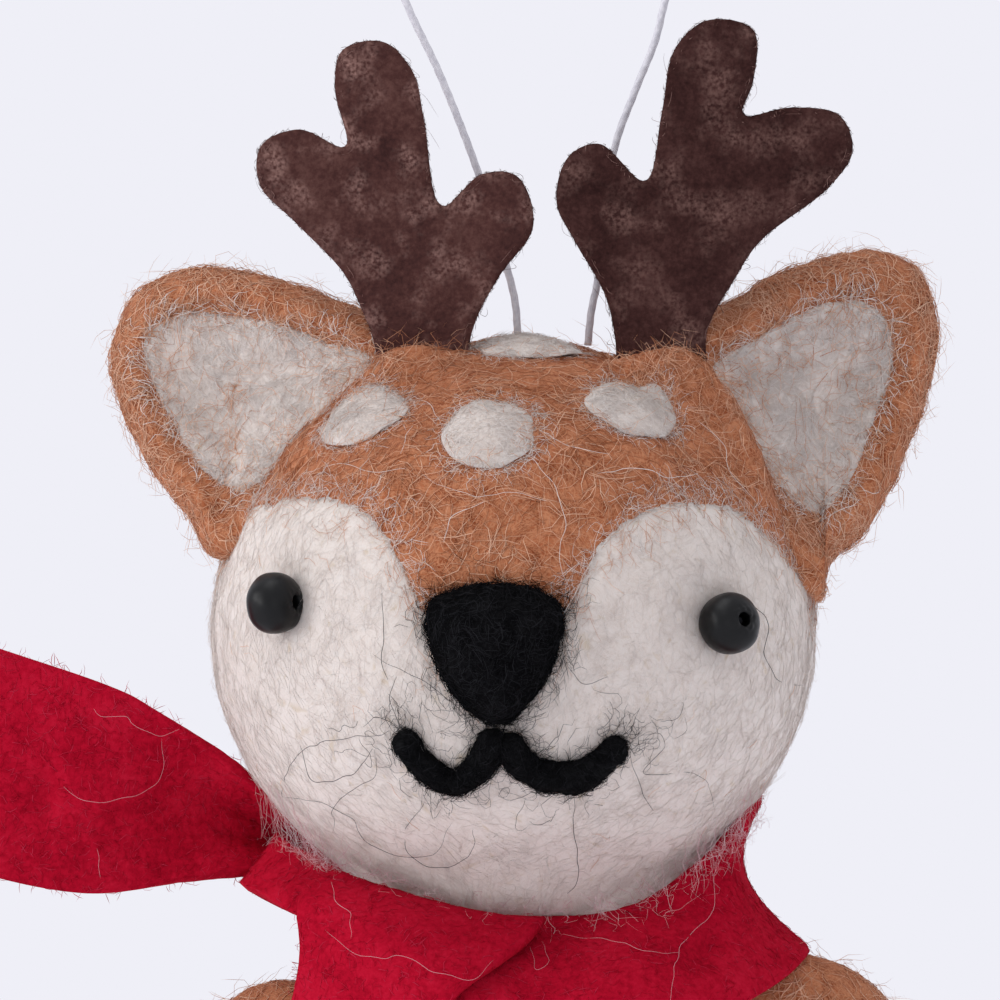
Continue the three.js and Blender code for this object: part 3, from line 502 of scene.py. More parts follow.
def felted_wool(name, gap, body, strand, contrast=0.8, relief=0.06 * MM, fleck=None, sheen=0.06, glow=0.0):
    """Packed wool: gap is painted shade, the darker colour deep between the fibres, body the mean, and strand
    the top ones' colour, partly their own paler tone and partly painted light; glow is the share of light
    that travels through the wool before it comes out."""
    material, tree = new_material(name)
    place = add(tree, "TexCoord").outputs["Object"]
    swirl = add(tree, "TexNoise", {"Vector": place, "Scale": 1 / SWIRL_SIZE, "Detail": 1.0})
    shift = add(tree, "VectorMath", {0: swirl.outputs["Color"], 1: (0.5, 0.5, 0.5)}, operation="SUBTRACT")
    bend = add(tree, "VectorMath", {0: shift, 3: SWIRL_REACH}, operation="SCALE")
    bent = add(tree, "VectorMath", {0: place, 1: bend})
    lines = None
    for number, grain in enumerate(STRAND_GRAINS):
        turned = add(tree, "Mapping", {
            "Vector": bent,
            "Location": (number * 31 * MM, number * 17 * MM, number * 23 * MM),
            "Rotation": (number * 1.1, number * 0.7, number * 1.9),
            "Scale": (1.0, 2.2, 1.0),
        })
        noise = add(tree, "TexNoise", {"Vector": turned, "Scale": 1 / grain, "Detail": 1.5})
        middle = add(tree, "Math", {0: noise, 1: 0.5}, operation="SUBTRACT")
        away = add(tree, "Math", {0: middle}, operation="ABSOLUTE")
        line = add(tree, "MapRange", {"Value": away, "From Max": 0.06, "To Min": 1.0, "To Max": 0.0})
        lines = add(tree, "Math", {0: lines, 1: line}, operation="MAXIMUM") if lines else line
    # Painted shade: where this noise is low the wool takes its darker gap colour, and the bump is lower
    # there.
    patch = add(tree, "TexNoise", {"Vector": bent, "Scale": 1 / SHADED_GAP_SIZE, "Detail": 3.0})
    depth = add(tree, "MapRange", {"Value": patch, "From Min": 0.36, "From Max": 0.56})
    ground = add(tree, "Mix", {"Factor": depth, 6: linear(gap), 7: linear(body)}, data_type="RGBA").outputs[2]
    # The lines take the top fibres' paler colour: partly their own tone, partly painted light.
    share = add(tree, "Math", {0: lines, 1: contrast}, operation="MULTIPLY", use_clamp=True)
    colour = add(tree, "Mix", {"Factor": share, 6: ground, 7: linear(strand)}, data_type="RGBA").outputs[2]
    if fleck is not None:
        spots = add(tree, "TexNoise", {"Vector": bent, "Scale": 1 / FLECK_SIZE, "Detail": 2.0})
        speck = add(tree, "MapRange", {"Value": spots, "From Min": 0.63, "From Max": 0.75})
        colour = add(tree, "Mix", {"Factor": speck, 6: colour, 7: linear(fleck)}, data_type="RGBA").outputs[2]
    height = add(tree, "Math", {0: lines, 1: depth}, operation="ADD")
    bump = add(tree, "Bump", {"Height": height, "Strength": 0.5, "Distance": relief})
    shader = finish_material(tree, colour, 0.95, sheen=sheen, bump=bump)
    shader.inputs["Subsurface Weight"].default_value = glow
    shader.inputs["Subsurface Radius"].default_value = (1.0, 0.9, 0.85)
    shader.inputs["Subsurface Scale"].default_value = GLOW_REACH
    return material


def wool_fibre(name, dark, mid, light, gloss=0.1):
    """Single fibres: each takes its own tone between dark and light, from the attribute on its mesh."""
    material, tree = new_material(name)
    tone = add(tree, "Attribute", attribute_name="tone").outputs["Fac"]
    ramp = add(tree, "ValToRGB", {"Fac": tone})
    ramp.color_ramp.elements[0].color = linear(dark)
    ramp.color_ramp.elements[1].color = linear(light)
    ramp.color_ramp.elements.new(0.5).color = linear(mid)
    finish_material(tree, ramp, 0.9, gloss=gloss)
    return material


# In each wool the first colour is painted shade deep between the fibres, and the last is the top fibres'
# paler colour, partly their own tone and partly painted light.
tan_wool = felted_wool("needle_felted_tan_wool", 0x8A4526, 0xB36C48, 0xCB8C67)
tan_fibre = wool_fibre("tan_wool_fibre", 0xA8633F, 0xCA8A66, 0xF0C8AC)
white_wool = felted_wool(
    "needle_felted_white_wool", 0xDCD0C7, 0xE3D8D0, 0xEBE2DC, contrast=0.6, relief=0.012 * MM,
    fleck=0xD6C7B6, glow=0.5,
)
white_fibre = wool_fibre("white_wool_fibre", 0xDCD0C8, 0xE5DBD5, 0xF2ECE8)
black_wool = felted_wool("needle_felted_black_wool", 0x050506, 0x0B0B0C, 0x18181A, relief=0.07 * MM, sheen=0)
black_fibre = wool_fibre("black_wool_fibre", 0x070708, 0x101012, 0x2A2A2D, gloss=0.05)
hoof_wool = felted_wool("needle_felted_brown_wool", 0x2E1D18, 0x4A352E, 0x6B5046)
hoof_fibre = wool_fibre("brown_wool_fibre", 0x3A2720, 0x543D34, 0x78594D)
core_wool = felted_wool("undyed_core_wool", 0xB3A68E, 0xCBBFA9, 0xDDD3C0)

# %% [markdown]
# Craft felt is pressed from short fibres into a sheet. It is flatter and tighter than needle felt: its
# surface is a fine mottle with short fibres in all directions, and it takes dye evenly.


# %% Felt sheet
CLOUD_SIZE = 4 * MM
MOTTLE_SIZE = 0.45 * MM
WORN_SIZE = 3.2 * MM
WORN_GRAIN = 0.3 * MM


def pressed_felt(name, dark, body, light, worn=None):
    """Felt sheet: a cloudy mean colour, a fine mottle, short crossing fibres and, if asked, worn patches."""
    material, tree = new_material(name)
    place = add(tree, "TexCoord").outputs["Object"]
    cloud = add(tree, "TexNoise", {"Vector": place, "Scale": 1 / CLOUD_SIZE, "Detail": 4.0, "Roughness": 0.6})
    mottle = add(tree, "TexNoise", {
        "Vector": place, "Scale": 1 / MOTTLE_SIZE, "Detail": 3.0, "Roughness": 0.7,
    })
    both = add(tree, "Math", {0: cloud, 1: mottle}, operation="ADD")
    share = add(tree, "MapRange", {"Value": both, "From Min": 0.72, "From Max": 1.28})
    ramp = add(tree, "ValToRGB", {"Fac": share})
    ramp.color_ramp.elements[0].color = linear(dark)
    ramp.color_ramp.elements[1].color = linear(light)
    ramp.color_ramp.elements.new(0.5).color = linear(body)
    colour = ramp.outputs["Color"]
    if worn is not None:
        area = add(tree, "TexNoise", {"Vector": place, "Scale": 1 / WORN_SIZE, "Detail": 3.0})
        grain = add(tree, "TexNoise", {"Vector": place, "Scale": 1 / WORN_GRAIN, "Detail": 4.0})
        where = add(tree, "MapRange", {"Value": area, "From Min": 0.47, "From Max": 0.7})
        speck = add(tree, "MapRange", {"Value": grain, "From Min": 0.36, "From Max": 0.66})
        pale = add(tree, "Math", {0: where, 1: speck}, operation="MULTIPLY")
        colour = add(tree, "Mix", {"Factor": pale, 6: colour, 7: linear(worn)}, data_type="RGBA").outputs[2]
    bump = add(tree, "Bump", {"Height": mottle, "Strength": 0.5, "Distance": 0.1 * MM})
    finish_material(tree, colour, 1.0, bump=bump, gloss=0.03)
    return material


red_felt = pressed_felt("red_craft_felt", 0x94081F, 0xB00E29, 0xBE1833)
red_fibre = wool_fibre("red_felt_fibre", 0xA40C24, 0xB9122D, 0xC83450, gloss=0.03)
# The right antler's felt is a darker copy of the left one's: its darker colours, its worn patches too, are
# painted shade for the side turned away from the key lamp.
antler_felts = {
    "left": pressed_felt("brown_craft_felt_worn", 0x3A2423, 0x4C302D, 0x5E403B, worn=0x96746C),
    "right": pressed_felt("brown_craft_felt", 0x2C1A19, 0x3C2523, 0x4C322F, worn=0x6E524C),
}
antler_fibre = wool_fibre("brown_felt_fibre", 0x3A2422, 0x5A3B37, 0x9A7870)
pink_fibre = wool_fibre("pink_stray_fibre", 0xC87A88, 0xE4BCC2, 0xF4E8E8)

# %% [markdown]
# The hanging loop is sewing thread, twisted from plies that catch the light as a fine diagonal. Its
# section is a circle with three shallow lobes, and it turns by one lobe in every 1.3 mm of thread.

# %% Thread
THREAD_LOBES = 3
THREAD_TWIST = 1.3 * MM
THREAD_GRAIN = 0.4 * MM


def thread_material(name, dark, light):
    """Twisted thread: the plies are geometry, so the colour only varies softly along it."""
    material, tree = new_material(name)
    place = add(tree, "TexCoord").outputs["Object"]
    noise = add(tree, "TexNoise", {"Vector": place, "Scale": 1 / THREAD_GRAIN, "Detail": 3.0})
    share = add(tree, "MapRange", {"Value": noise, "From Min": 0.35, "From Max": 0.65})
    low, high = linear(dark), linear(light)
    colour = add(tree, "Mix", {"Factor": share, 6: low, 7: high}, data_type="RGBA").outputs[2]
    finish_material(tree, colour, 0.8)
    return material


loop_thread = thread_material("grey_sewing_thread", 0xD4D2DA, 0xE6E4EA)
black_thread = thread_material("black_sewing_thread", 0x101012, 0x242428)


def path_frames(path):
    """Directions across a path that don't twist: each is the last one with its part along the path taken
    out again."""
    tangent = unit(np.gradient(path, axis=0))
    across = np.zeros_like(path)
    way = np.cross(tangent[0], [0.0, 1.0, 0.0])
    for k, forward in enumerate(tangent):
        way = way - forward * (way @ forward)
        way = way / np.linalg.norm(way)
        across[k] = way
    return tangent, across, np.cross(tangent, across)


def twisted_thread(path, diameter, sides=10):
    """A thread along a path: its lobed section turns with the length travelled."""
    _, across, other = path_frames(path)
    travelled = np.concatenate([[0], np.cumsum(np.linalg.norm(np.diff(path, axis=0), axis=1))])
    angle = np.arange(sides) / sides * TURN
    lobe = np.cos(THREAD_LOBES * (angle[None] - travelled[:, None] / THREAD_TWIST * TURN / THREAD_LOBES))
    radius = diameter / 2 * (0.96 + 0.04 * lobe)
    rings = path[:, None] + radius[..., None] * (
        np.cos(angle)[None, :, None] * across[:, None] + np.sin(angle)[None, :, None] * other[:, None]
    )
    return closed_skin(rings, path[:1], path[-1:])


# %% [markdown]
# The loop is one piece of thread that leaves the crown at one place, passes over the hook and goes back
# in beside it. It hangs as the photograph shows: the strands spread behind the antlers. The arch above
# the photograph's edge is estimated.

# %% Hanging loop
LOOP_ROUTE = np.array([
    (-1.4, 0, -56.3), (-1.6, 0, -53.6), (-2.4, 0, -50.3), (-4.6, 0, -43.1), (-7.6, 0, -35.4),
    (-10.4, 0, -29.4), (-12.3, 0, -23.6), (-13.0, 0, -17.6), (-12.2, 0, -10.8), (-9.2, 0, -4.6),
    (-4.9, 0, -0.9), (0, 0, 0.35),
    (4.9, 0, -0.9), (9.2, 0, -4.6), (12.2, 0, -10.8), (13.0, 0, -17.6), (12.3, 0, -23.6), (10.4, 0, -29.4),
    (9.6, 0, -32.6), (8.0, 0, -36.6), (6.3, 0, -41.4), (5.0, 0, -51.8), (4.5, 0, -54.2), (4.2, 0, -57.0),
]) * MM
LOOP_STATIONS = 900
loop_path = smooth_line(LOOP_ROUTE, np.linspace(0, 1, LOOP_STATIONS))
hanging_thread = mesh_piece("hanging_thread", *twisted_thread(loop_path, THREAD_DIAMETER), loop_thread)
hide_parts("hanging_cord")
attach(hanging_thread, "loop")

# %% [markdown]
# An overhand knot closes the loop at its top: the thread winds once and a half round itself and two short
# ends stand out.

# %% Knot
KNOT_RADIUS = 0.75 * MM
KNOT_ENDS = 2.2 * MM


def knot_path():
    """A trefoil-like winding round the loop's top, with an end standing out at each side."""
    t = np.linspace(0, 1, 220)
    turn = t * 3 * TURN / 2
    winding = np.stack(
        [
            (t - 0.5) * 1.9 * MM + 0.15 * MM * np.sin(2 * turn),
            KNOT_RADIUS * np.cos(turn),
            THREAD_DIAMETER / 2 + KNOT_RADIUS * np.sin(turn),
        ],
        1,
    )
    tail = np.linspace(1, 0, 24)[:-1, None] * KNOT_ENDS
    first = winding[0] + tail * np.array([-0.55, -0.2, 0.55])
    last = winding[-1] + tail[::-1] * np.array([0.6, 0.25, 0.5])
    return smooth_line(np.vstack([first, winding, last])[::6], np.linspace(0, 1, 300))


loop_knot = mesh_piece("loop_knot", *twisted_thread(knot_path(), THREAD_DIAMETER * 0.9), loop_thread)
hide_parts("cord_knot")
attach(loop_knot, "loop")

# %% [markdown]
# Every piece rides on one body of the model, and a skin also hides the solids it stands for. One helper
# does that, and a second one grows fibres and puts them on their body.


# %% Keep track of what rides where
FIBRE_OF = {
    "tan_wool": tan_fibre, "white_wool": white_fibre, "black_wool": black_fibre, "hoof_wool": hoof_fibre,
    "antler_felt": antler_fibre,
}


def belongs(piece, body, replaced=()):
    """Puts a piece on its body and hides the solids it stands for."""
    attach(piece, body)
    if replaced:
        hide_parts(*replaced)


def grow(name, surface, slot, seed, parts, body="toy"):
    """Grows the sets of fibres that a finish has on a surface, and puts them on their body."""
    belongs(fibres(name, surface, FIBRE_OF[slot], parts, seed), body)


# %% [markdown]
# The head is a ball of wool. Two colours meet on it: tan over the crown and back, and white laid over the
# cheeks, muzzle and chin. The edge of the white is drawn as shares of the head's half width and height,
# and a place's depth inside the white is its distance to that edge.

# %% Where the white wool lies
FACE_EDGE_SHARES = [
    (-1.3, 0.24), (-0.99, 0.26), (-0.88, 0.41), (-0.68, 0.455), (-0.5, 0.41), (-0.385, 0.25),
    (-0.3, 0.06), (-0.2, -0.08), (-0.05, -0.12), (0.1, -0.08), (0.18, 0.08), (0.29, 0.31), (0.45, 0.42),
    (0.65, 0.435), (0.83, 0.34), (0.95, 0.18), (1.02, 0.01), (1.3, -0.04),
]
FACE_BACK_SHARES = [(0.16, 0.6), (0.18, 0.2), (0.32, -0.3), (0.55, -0.8), (0.8, -1.3)]
edge_line = smooth_line(FACE_EDGE_SHARES, np.linspace(0, 1, 400), even=0)
back_line = smooth_line(FACE_BACK_SHARES, np.linspace(0, 1, 60), even=0)[::-1]


def white_depth(points):
    """How far inside the white wool a place on the head lies, in metres, and below zero on the tan: the
    gap to the front edge over that edge's slope, or the gap to the back edge, whichever is less."""
    x, y, z = np.moveaxis((points - HEAD_MIDDLE) / HEAD_HALF, -1, 0)
    edge = np.interp(x, edge_line[:, 0], edge_line[:, 1])
    ahead = np.interp(x + 0.01, edge_line[:, 0], edge_line[:, 1])
    front = (edge - z) / np.sqrt(1 + ((ahead - edge) / 0.01) ** 2)
    front = np.where(y > 0.45, 1.0, front)
    back = np.interp(z, back_line[:, 1], back_line[:, 0]) - y
    return np.minimum(front, back) * HEAD_HALF[2]


def head_ray(u, v):
    """Directions from the head's middle: u goes round from the back by the viewer's right, v climbs."""
    turn, climb = TURN * (u - 0.25), math.pi * (v - 0.5)
    return np.stack([np.cos(climb) * np.cos(turn), np.cos(climb) * np.sin(turn), np.sin(climb)], -1)


# %% [markdown]
# Each bead is sewn on tightly, so it pulls a shallow dimple into the face.

# %% Dimples under the eyes
BEAD_DIAMETER = 4.9 * MM
BEAD_LENGTH = 4.2 * MM
BEAD_SINK = 1.2 * MM
DIMPLE_DEPTH = 0.6 * MM
DIMPLE_RADIUS = 3.1 * MM
EYE_SHARES = {"left": (-0.784, 0.091), "right": (0.705, 0.022)}


def on_face(x_share, z_share, lift):
    """The place on the front of the head, lifted by a distance, that is seen at a place in front view."""
    half = HEAD_HALF + lift
    x, z = x_share * HEAD_HALF[0], z_share * HEAD_HALF[2]
    rest = np.maximum(1 - (x / half[0]) ** 2 - (z / half[2]) ** 2, 0)
    return HEAD_MIDDLE + np.stack([x, -half[1] * np.sqrt(rest), z], -1)


eye_places = {side: on_face(*shares, BEAD_DIAMETER / 2 - BEAD_SINK) for side, shares in EYE_SHARES.items()}


def dimples(points):
    """Depth of the dimples round the beads: each falls off as a bell."""
    return sum(
        DIMPLE_DEPTH * np.exp(-((np.linalg.norm(points - place, axis=-1) / DIMPLE_RADIUS) ** 2))
        for place in eye_places.values()
    )


# %% [markdown]
# Where the felt antlers go into the head, wool is needled up against them so that they stand: a low rise
# of the tan wool just ahead of each root. Under the chin the white wool runs down the neck a little.

# %% Head and face wool
ROOT_PLACES = {"left": (-9.6, -7.9), "right": (15.0, -7.9)}
ROOT_RISES = {"left": (2.8, 4.6, 1.8), "right": (5.4, 5.6, 1.9)}
NECK_RADIUS = 8.75 * MM
NECK_SKIRT = 1.8 * MM
CHIN_SAG = 2.3 * MM
CHIN_RING = 10.3 * MM
CHIN_WIDE = 2.4 * MM
TAN_SUNK = 0.55 * MM
TAN_LOW = 0.1 * MM
WHITE_LOW = 0.13 * MM
WHITE_HIGH = 0.08 * MM
WHITE_THINS = 2 * MM


def root_rise(points):
    """How far the wool rises ahead of each antler's root: a bell, wider across than from front to back."""
    x, y, _ = np.moveaxis(points - HEAD_MIDDLE, -1, 0) / MM
    rise = 0 * x
    for side, (across, ahead) in ROOT_PLACES.items():
        high, wide, deep = ROOT_RISES[side]
        rise = rise + high * MM * np.exp(-(((x - across) / wide) ** 2) - ((y - ahead) / deep) ** 2)
    up = np.zeros_like(points)
    up[..., 2] = rise * ease((points[..., 2] - HEAD_MIDDLE[2]) / (12 * MM))
    return up


def tan_ball(u, v):
    """The whole ball, uneven, and sunk by half a millimetre where the white wool covers it."""
    ray = head_ray(u, v)
    point = HEAD_MIDDLE + ray * HEAD_HALF
    sunk = TAN_SUNK * ease(white_depth(point) / (1.2 * MM))
    return point + ray * (wool_lift(point, 11) - sunk - TAN_LOW)[..., None] + root_rise(point)


def down_the_neck(point):
    """The chin's wool sags onto the scarf as a bell round a ring just outside the neck, and what would lie
    under the chin goes out to the neck's side and down along it."""
    flat = point[..., :2] - HEAD_MIDDLE[:2]
    radius = np.linalg.norm(flat, axis=-1, keepdims=True)
    share = np.clip(1 - radius / NECK_RADIUS, 0, 1)
    aside = flat * (np.maximum(radius, NECK_RADIUS) / np.maximum(radius, 1e-6))
    level = HEAD_MIDDLE[2] - HEAD_HALF[2] * math.sqrt(1 - (NECK_RADIUS / HEAD_HALF[1]) ** 2)
    level = np.where(share > 0, level, point[..., 2:])
    sag = CHIN_SAG * np.exp(-(((np.maximum(radius, NECK_RADIUS) - CHIN_RING) / CHIN_WIDE) ** 2))
    fallen = level - (sag + NECK_SKIRT * share) * (point[..., 2:] < HEAD_MIDDLE[2])
    return np.concatenate([HEAD_MIDDLE[:2] + aside, fallen], -1)


RIM_SCAN = 500
scan_round = np.linspace(0, 1, 721)
scan_climb = np.linspace(0, 0.85, RIM_SCAN)
scan_points = HEAD_MIDDLE + head_ray(*np.meshgrid(scan_round, scan_climb, indexing="ij")) * HEAD_HALF
outside = white_depth(scan_points) < -0.25 * MM * lumps(scan_points, 1.3 * MM, 5)
face_top = scan_climb[np.maximum(outside.argmax(1), 1)]
face_top[-1] = face_top[0]
white_edge = HEAD_MIDDLE + head_ray(scan_round, face_top)[::2] * HEAD_HALF


def white_patch(u, v):
    """The white wool's outer side: v climbs from under the chin to the edge of the white, and in the last
    two millimetres the wool thins out into the tan wool's own surface."""
    ray = head_ray(u, v * np.interp(np.mod(u, 1), scan_round, face_top))
    point = down_the_neck(HEAD_MIDDLE + ray * HEAD_HALF)
    bare = wool_lift(point, 11) - WHITE_LOW
    covered = wool_lift(point, 21, 0.1 * MM) + WHITE_HIGH
    lift = bare + (covered - bare) * ease(white_depth(point) / WHITE_THINS)
    return point + ray * (lift - dimples(point))[..., None]


def face_wool_skin(rows=56, columns=320, thickness=0.9 * MM):
    """The white wool as a closed shell: out over the patch, round its edge and back underneath."""
    v, u = np.meshgrid(np.linspace(0, 1, rows)[1:], np.arange(columns) / columns, indexing="ij")
    outer = white_patch(u, v)
    inner = outer - unit(outer - HEAD_MIDDLE) * thickness
    rings = np.concatenate([outer, inner[::-1]])
    pole = white_patch(np.zeros(1), np.zeros(1))
    return closed_skin(rings, pole, pole + [0, 0, thickness])


def near(place, radius):
    """A weight that is 1 at a place and falls off round it."""
    return lambda points: np.exp(-((np.linalg.norm(points - place, axis=-1) / radius) ** 2))


def on_tan(points):
    """A weight that keeps fibres on the tan wool."""
    return white_depth(points) < 0.1 * MM


head_wool = mesh_piece("head_wool", *skin_of(tan_ball, 100, 200), tan_wool)
face_wool = mesh_piece("face_wool", *face_wool_skin(), white_wool)
belongs(head_wool, "toy", ["head_coat"])
belongs(face_wool, "toy", ["face_coat"])
root_wool = [near(HEAD_MIDDLE + np.array([*place, 21.0]) * MM, 5 * MM) for place in ROOT_PLACES.values()]
grow("head_wool_fibres", tan_ball, "tan_wool", 31, [lie(7400, 4.2, weight=on_tan)])
grow("head_wool_curls", tan_ball, "tan_wool", 33, [
    lie(2300, 5.0, FINE_FIBRE, curl=800, arch=0.45, steps=6, tone=(0.3, 0.9), weight=on_tan),
    stand(1200, 3.2, 2.0, FINE_HAIR, tone=(0.4, 1), weight=on_tan),
    *(stand(330, 3.8, 2.6, tone=(0.3, 0.9), weight=weight) for weight in root_wool),
])
grow("face_wool_fibres", white_patch, "white_wool", 32, [
    lie(8800, 2.8, FINE_HAIR, curl=520, flat=0.02, arch=0.09, tone=(0.3, 0.9), v_range=(0.01, 0.999)),
])
grow("face_wool_curls", white_patch, "white_wool", 34, [
    lie(2600, 3.6, CURL_HAIR, curl=900, arch=0.3, steps=6, tone=(0.4, 1), v_range=(0.05, 0.999)),
    stand(1800, 1.8, 0.8, CURL_HAIR, curl=900, tone=(0.5, 1), v_range=(0.08, 0.999)),
])
rim, wide_rim = (near_line(white_edge, width * MM) for width in (1.0, 1.2))
grow("white_wool_wisps", tan_ball, "white_wool", 35, [
    lie(2700, 2.2, FINE_HAIR, curl=700, flat=0.12, arch=0.25, tone=(0.2, 1), weight=rim),
    stand(500, 2.4, 0.8, FINE_HAIR, curl=800, tone=(0.4, 1), weight=wide_rim),
])
grow("tan_wool_wisps", white_patch, "tan_wool", 36, [
    lie(800, 2.4, FINE_HAIR, curl=600, arch=0.15, tone=(0.3, 1), weight=wide_rim),
    lie(60, 2.4, HAIR, curl=900, tone=(0.6, 1), v_range=(0.14, 0.9)),
])

# %% [markdown]
# An ear is a flat pillow of wool, dished in front inside a rolled rim and swept back from its root. Its
# outline is drawn as shares of its half width and height. The surface goes from the middle of the front
# out to the rim and round to the middle of the back, so it closes on itself.

# %% Ears
EAR_THICKNESS = 6 * MM
EAR_FRONT = 7 * MM
EAR_DISH = 2.6 * MM
EAR_RIM_SHARE = 0.8
EAR_SWEEP = math.radians(25)
FRONT_SHARE = 0.62
LINING_STANDS = 0.3 * MM
LINING_SUNK = 0.9 * MM
LINING_WIDER = 0.3 * MM
LINING_FRONT = (0.002, FRONT_SHARE)
EAR_LUMPS = 0.15 * MM
EARS = {
    "left": dict(
        size=np.array([24.0, 23.2]) * MM, place=(-0.84, 0.741), side=1,
        root=[(-0.34, 0.974), (-0.987, 0.235)],
        outline=[
            (1.0, 0.46), (0.71, 0.7), (0.28, 0.88), (-0.15, 1.0), (-0.61, 0.99), (-0.89, 0.79), (-1.0, 0.44),
            (-0.94, 0.07), (-0.72, -0.39), (-0.49, -0.68), (-0.29, -1.0), (0.19, -0.72), (0.73, -0.1),
        ],
        lining=[
            (-0.78, 0.52), (-0.56, 0.69), (-0.08, 0.66), (0.38, 0.52), (0.76, 0.37), (0.52, 0.12),
            (0.24, -0.19), (-0.13, -0.54), (-0.38, -0.35), (-0.63, 0.05),
        ],
    ),
    "right": dict(
        size=np.array([21.6, 28.0]) * MM, place=(0.966, 0.706), side=-1,
        root=[(0.523, 1.009), (1.012, 0.096)],
        outline=[
            (-0.99, 0.5), (-0.47, 0.73), (0.05, 0.94), (0.53, 1.0), (0.86, 0.88), (1.0, 0.57), (0.92, 0.21),
            (0.72, -0.19), (0.46, -0.59), (0.17, -0.79), (0.1, -1.0), (-0.48, -0.66), (-1.0, -0.03),
        ],
        lining=[
            (-0.69, 0.29), (-0.25, 0.53), (0.26, 0.71), (0.52, 0.68), (0.64, 0.42), (0.49, 0.02),
            (0.32, -0.32), (0.07, -0.51), (-0.26, -0.26), (-0.52, 0.07),
        ],
    ),
}


def ear_plane(ear):
    """A function that puts a place of the ear's outline, with a depth, on the ear's swept-back plane."""
    top, low = (np.array(pair) * HEAD_HALF[[0, 2]] for pair in ear["root"])
    root = (low - top) / np.linalg.norm(low - top)
    outward = np.array([root[1], -root[0]]) * ear["side"]
    middle = np.array(ear["place"]) * HEAD_HALF[[0, 2]]

    def put(flat, depth):
        seen = flat + middle
        away = (seen - top) @ outward
        y = -EAR_FRONT + EAR_THICKNESS / 2 + math.tan(EAR_SWEEP) * away + depth
        return HEAD_MIDDLE + np.stack([seen[..., 0], y, seen[..., 1]], -1)

    return put


def ear_front(share):
    """Depth of the ear's front: a dish inside the rim, and a quarter round over the rim."""
    inside = -EAR_THICKNESS / 2 + EAR_DISH * (1 - (share / EAR_RIM_SHARE) ** 2)
    past = (share - EAR_RIM_SHARE) / (1 - EAR_RIM_SHARE)
    over = -EAR_THICKNESS / 2 * np.sqrt(np.clip(1 - past**2, 0, 1))
    return np.where(share <= EAR_RIM_SHARE, inside, over)


def ear_back(share):
    """Depth of the ear's back, a shallow dome."""
    return EAR_THICKNESS / 2 * np.sqrt(np.clip(1 - share**2, 0, 1))


def pillow_share(v):
    """How far from the middle a pillow's surface is: out to the edge over the front, and back behind."""
    front = np.sin(math.pi / 2 * v / FRONT_SHARE)
    back = np.cos(math.pi / 2 * (v - FRONT_SHARE) / (1 - FRONT_SHARE))
    return np.clip(np.where(v < FRONT_SHARE, front, back), 0, 1)


def ear_surface_of(ear):
    """The ear's surface: v from 0 crosses the front from the middle to the edge, and then the back."""
    put = ear_plane(ear)
    drawn = np.array(ear["outline"]) * ear["size"] / 2
    middle = drawn.mean(0)

    def surface(u, v):
        edge = smooth_line(drawn, u, closed=True)
        share = pillow_share(v)
        depth = np.where(v < FRONT_SHARE, ear_front(share), ear_back(share))
        point = put(middle + (edge - middle) * share[..., None], depth)
        aside = np.moveaxis(unit(edge - middle), -1, 0) * share**6
        way = np.where(v < FRONT_SHARE, -1.0, 1.0) * (1 - share**6)
        lift = wool_lift(point, 41, EAR_LUMPS)
        return point + unit(np.stack([aside[0], way, aside[1]], -1)) * lift[..., None]

    return surface


def lining_surface_of(ear):
    """The white wool in the ear: it stands off the ear's own front by a third of a millimetre, thins out
    at its edge, and its hidden side is sunk into the ear. The ear's front at a place is found from that
    place's distance to the ear's middle over the outline's radius in the same direction."""
    put = ear_plane(ear)
    whole, drawn = (np.array(ear[key]) * ear["size"] / 2 for key in ("outline", "lining"))
    ear_middle, middle = whole.mean(0), drawn.mean(0)
    edge_away = smooth_line(whole, np.linspace(0, 1, 721)[:-1], closed=True) - ear_middle
    edge_angle = np.arctan2(edge_away[:, 1], edge_away[:, 0])
    edge_radius = np.linalg.norm(edge_away, axis=-1)

    def surface(u, v):
        edge = smooth_line(drawn, u, closed=True)
        edge = edge + unit(edge - middle) * LINING_WIDER
        share = pillow_share(v)
        flat = middle + (edge - middle) * share[..., None]
        away = flat - ear_middle
        radius = np.interp(np.arctan2(away[..., 1], away[..., 0]), edge_angle, edge_radius, period=TURN)
        base = put(flat, ear_front(np.linalg.norm(away, axis=-1) / radius))
        uneven = wool_lift(base, 41, EAR_LUMPS) + wool_lift(base, 43, 0.1 * MM)
        shown = LINING_STANDS * (1 - 1.4 * share**12) + uneven
        hidden = -LINING_SUNK * (1 - share**4) - 0.12 * MM
        rise = np.where(v < FRONT_SHARE, shown, hidden)
        return base - np.stack([0 * rise, rise, 0 * rise], -1)

    return surface


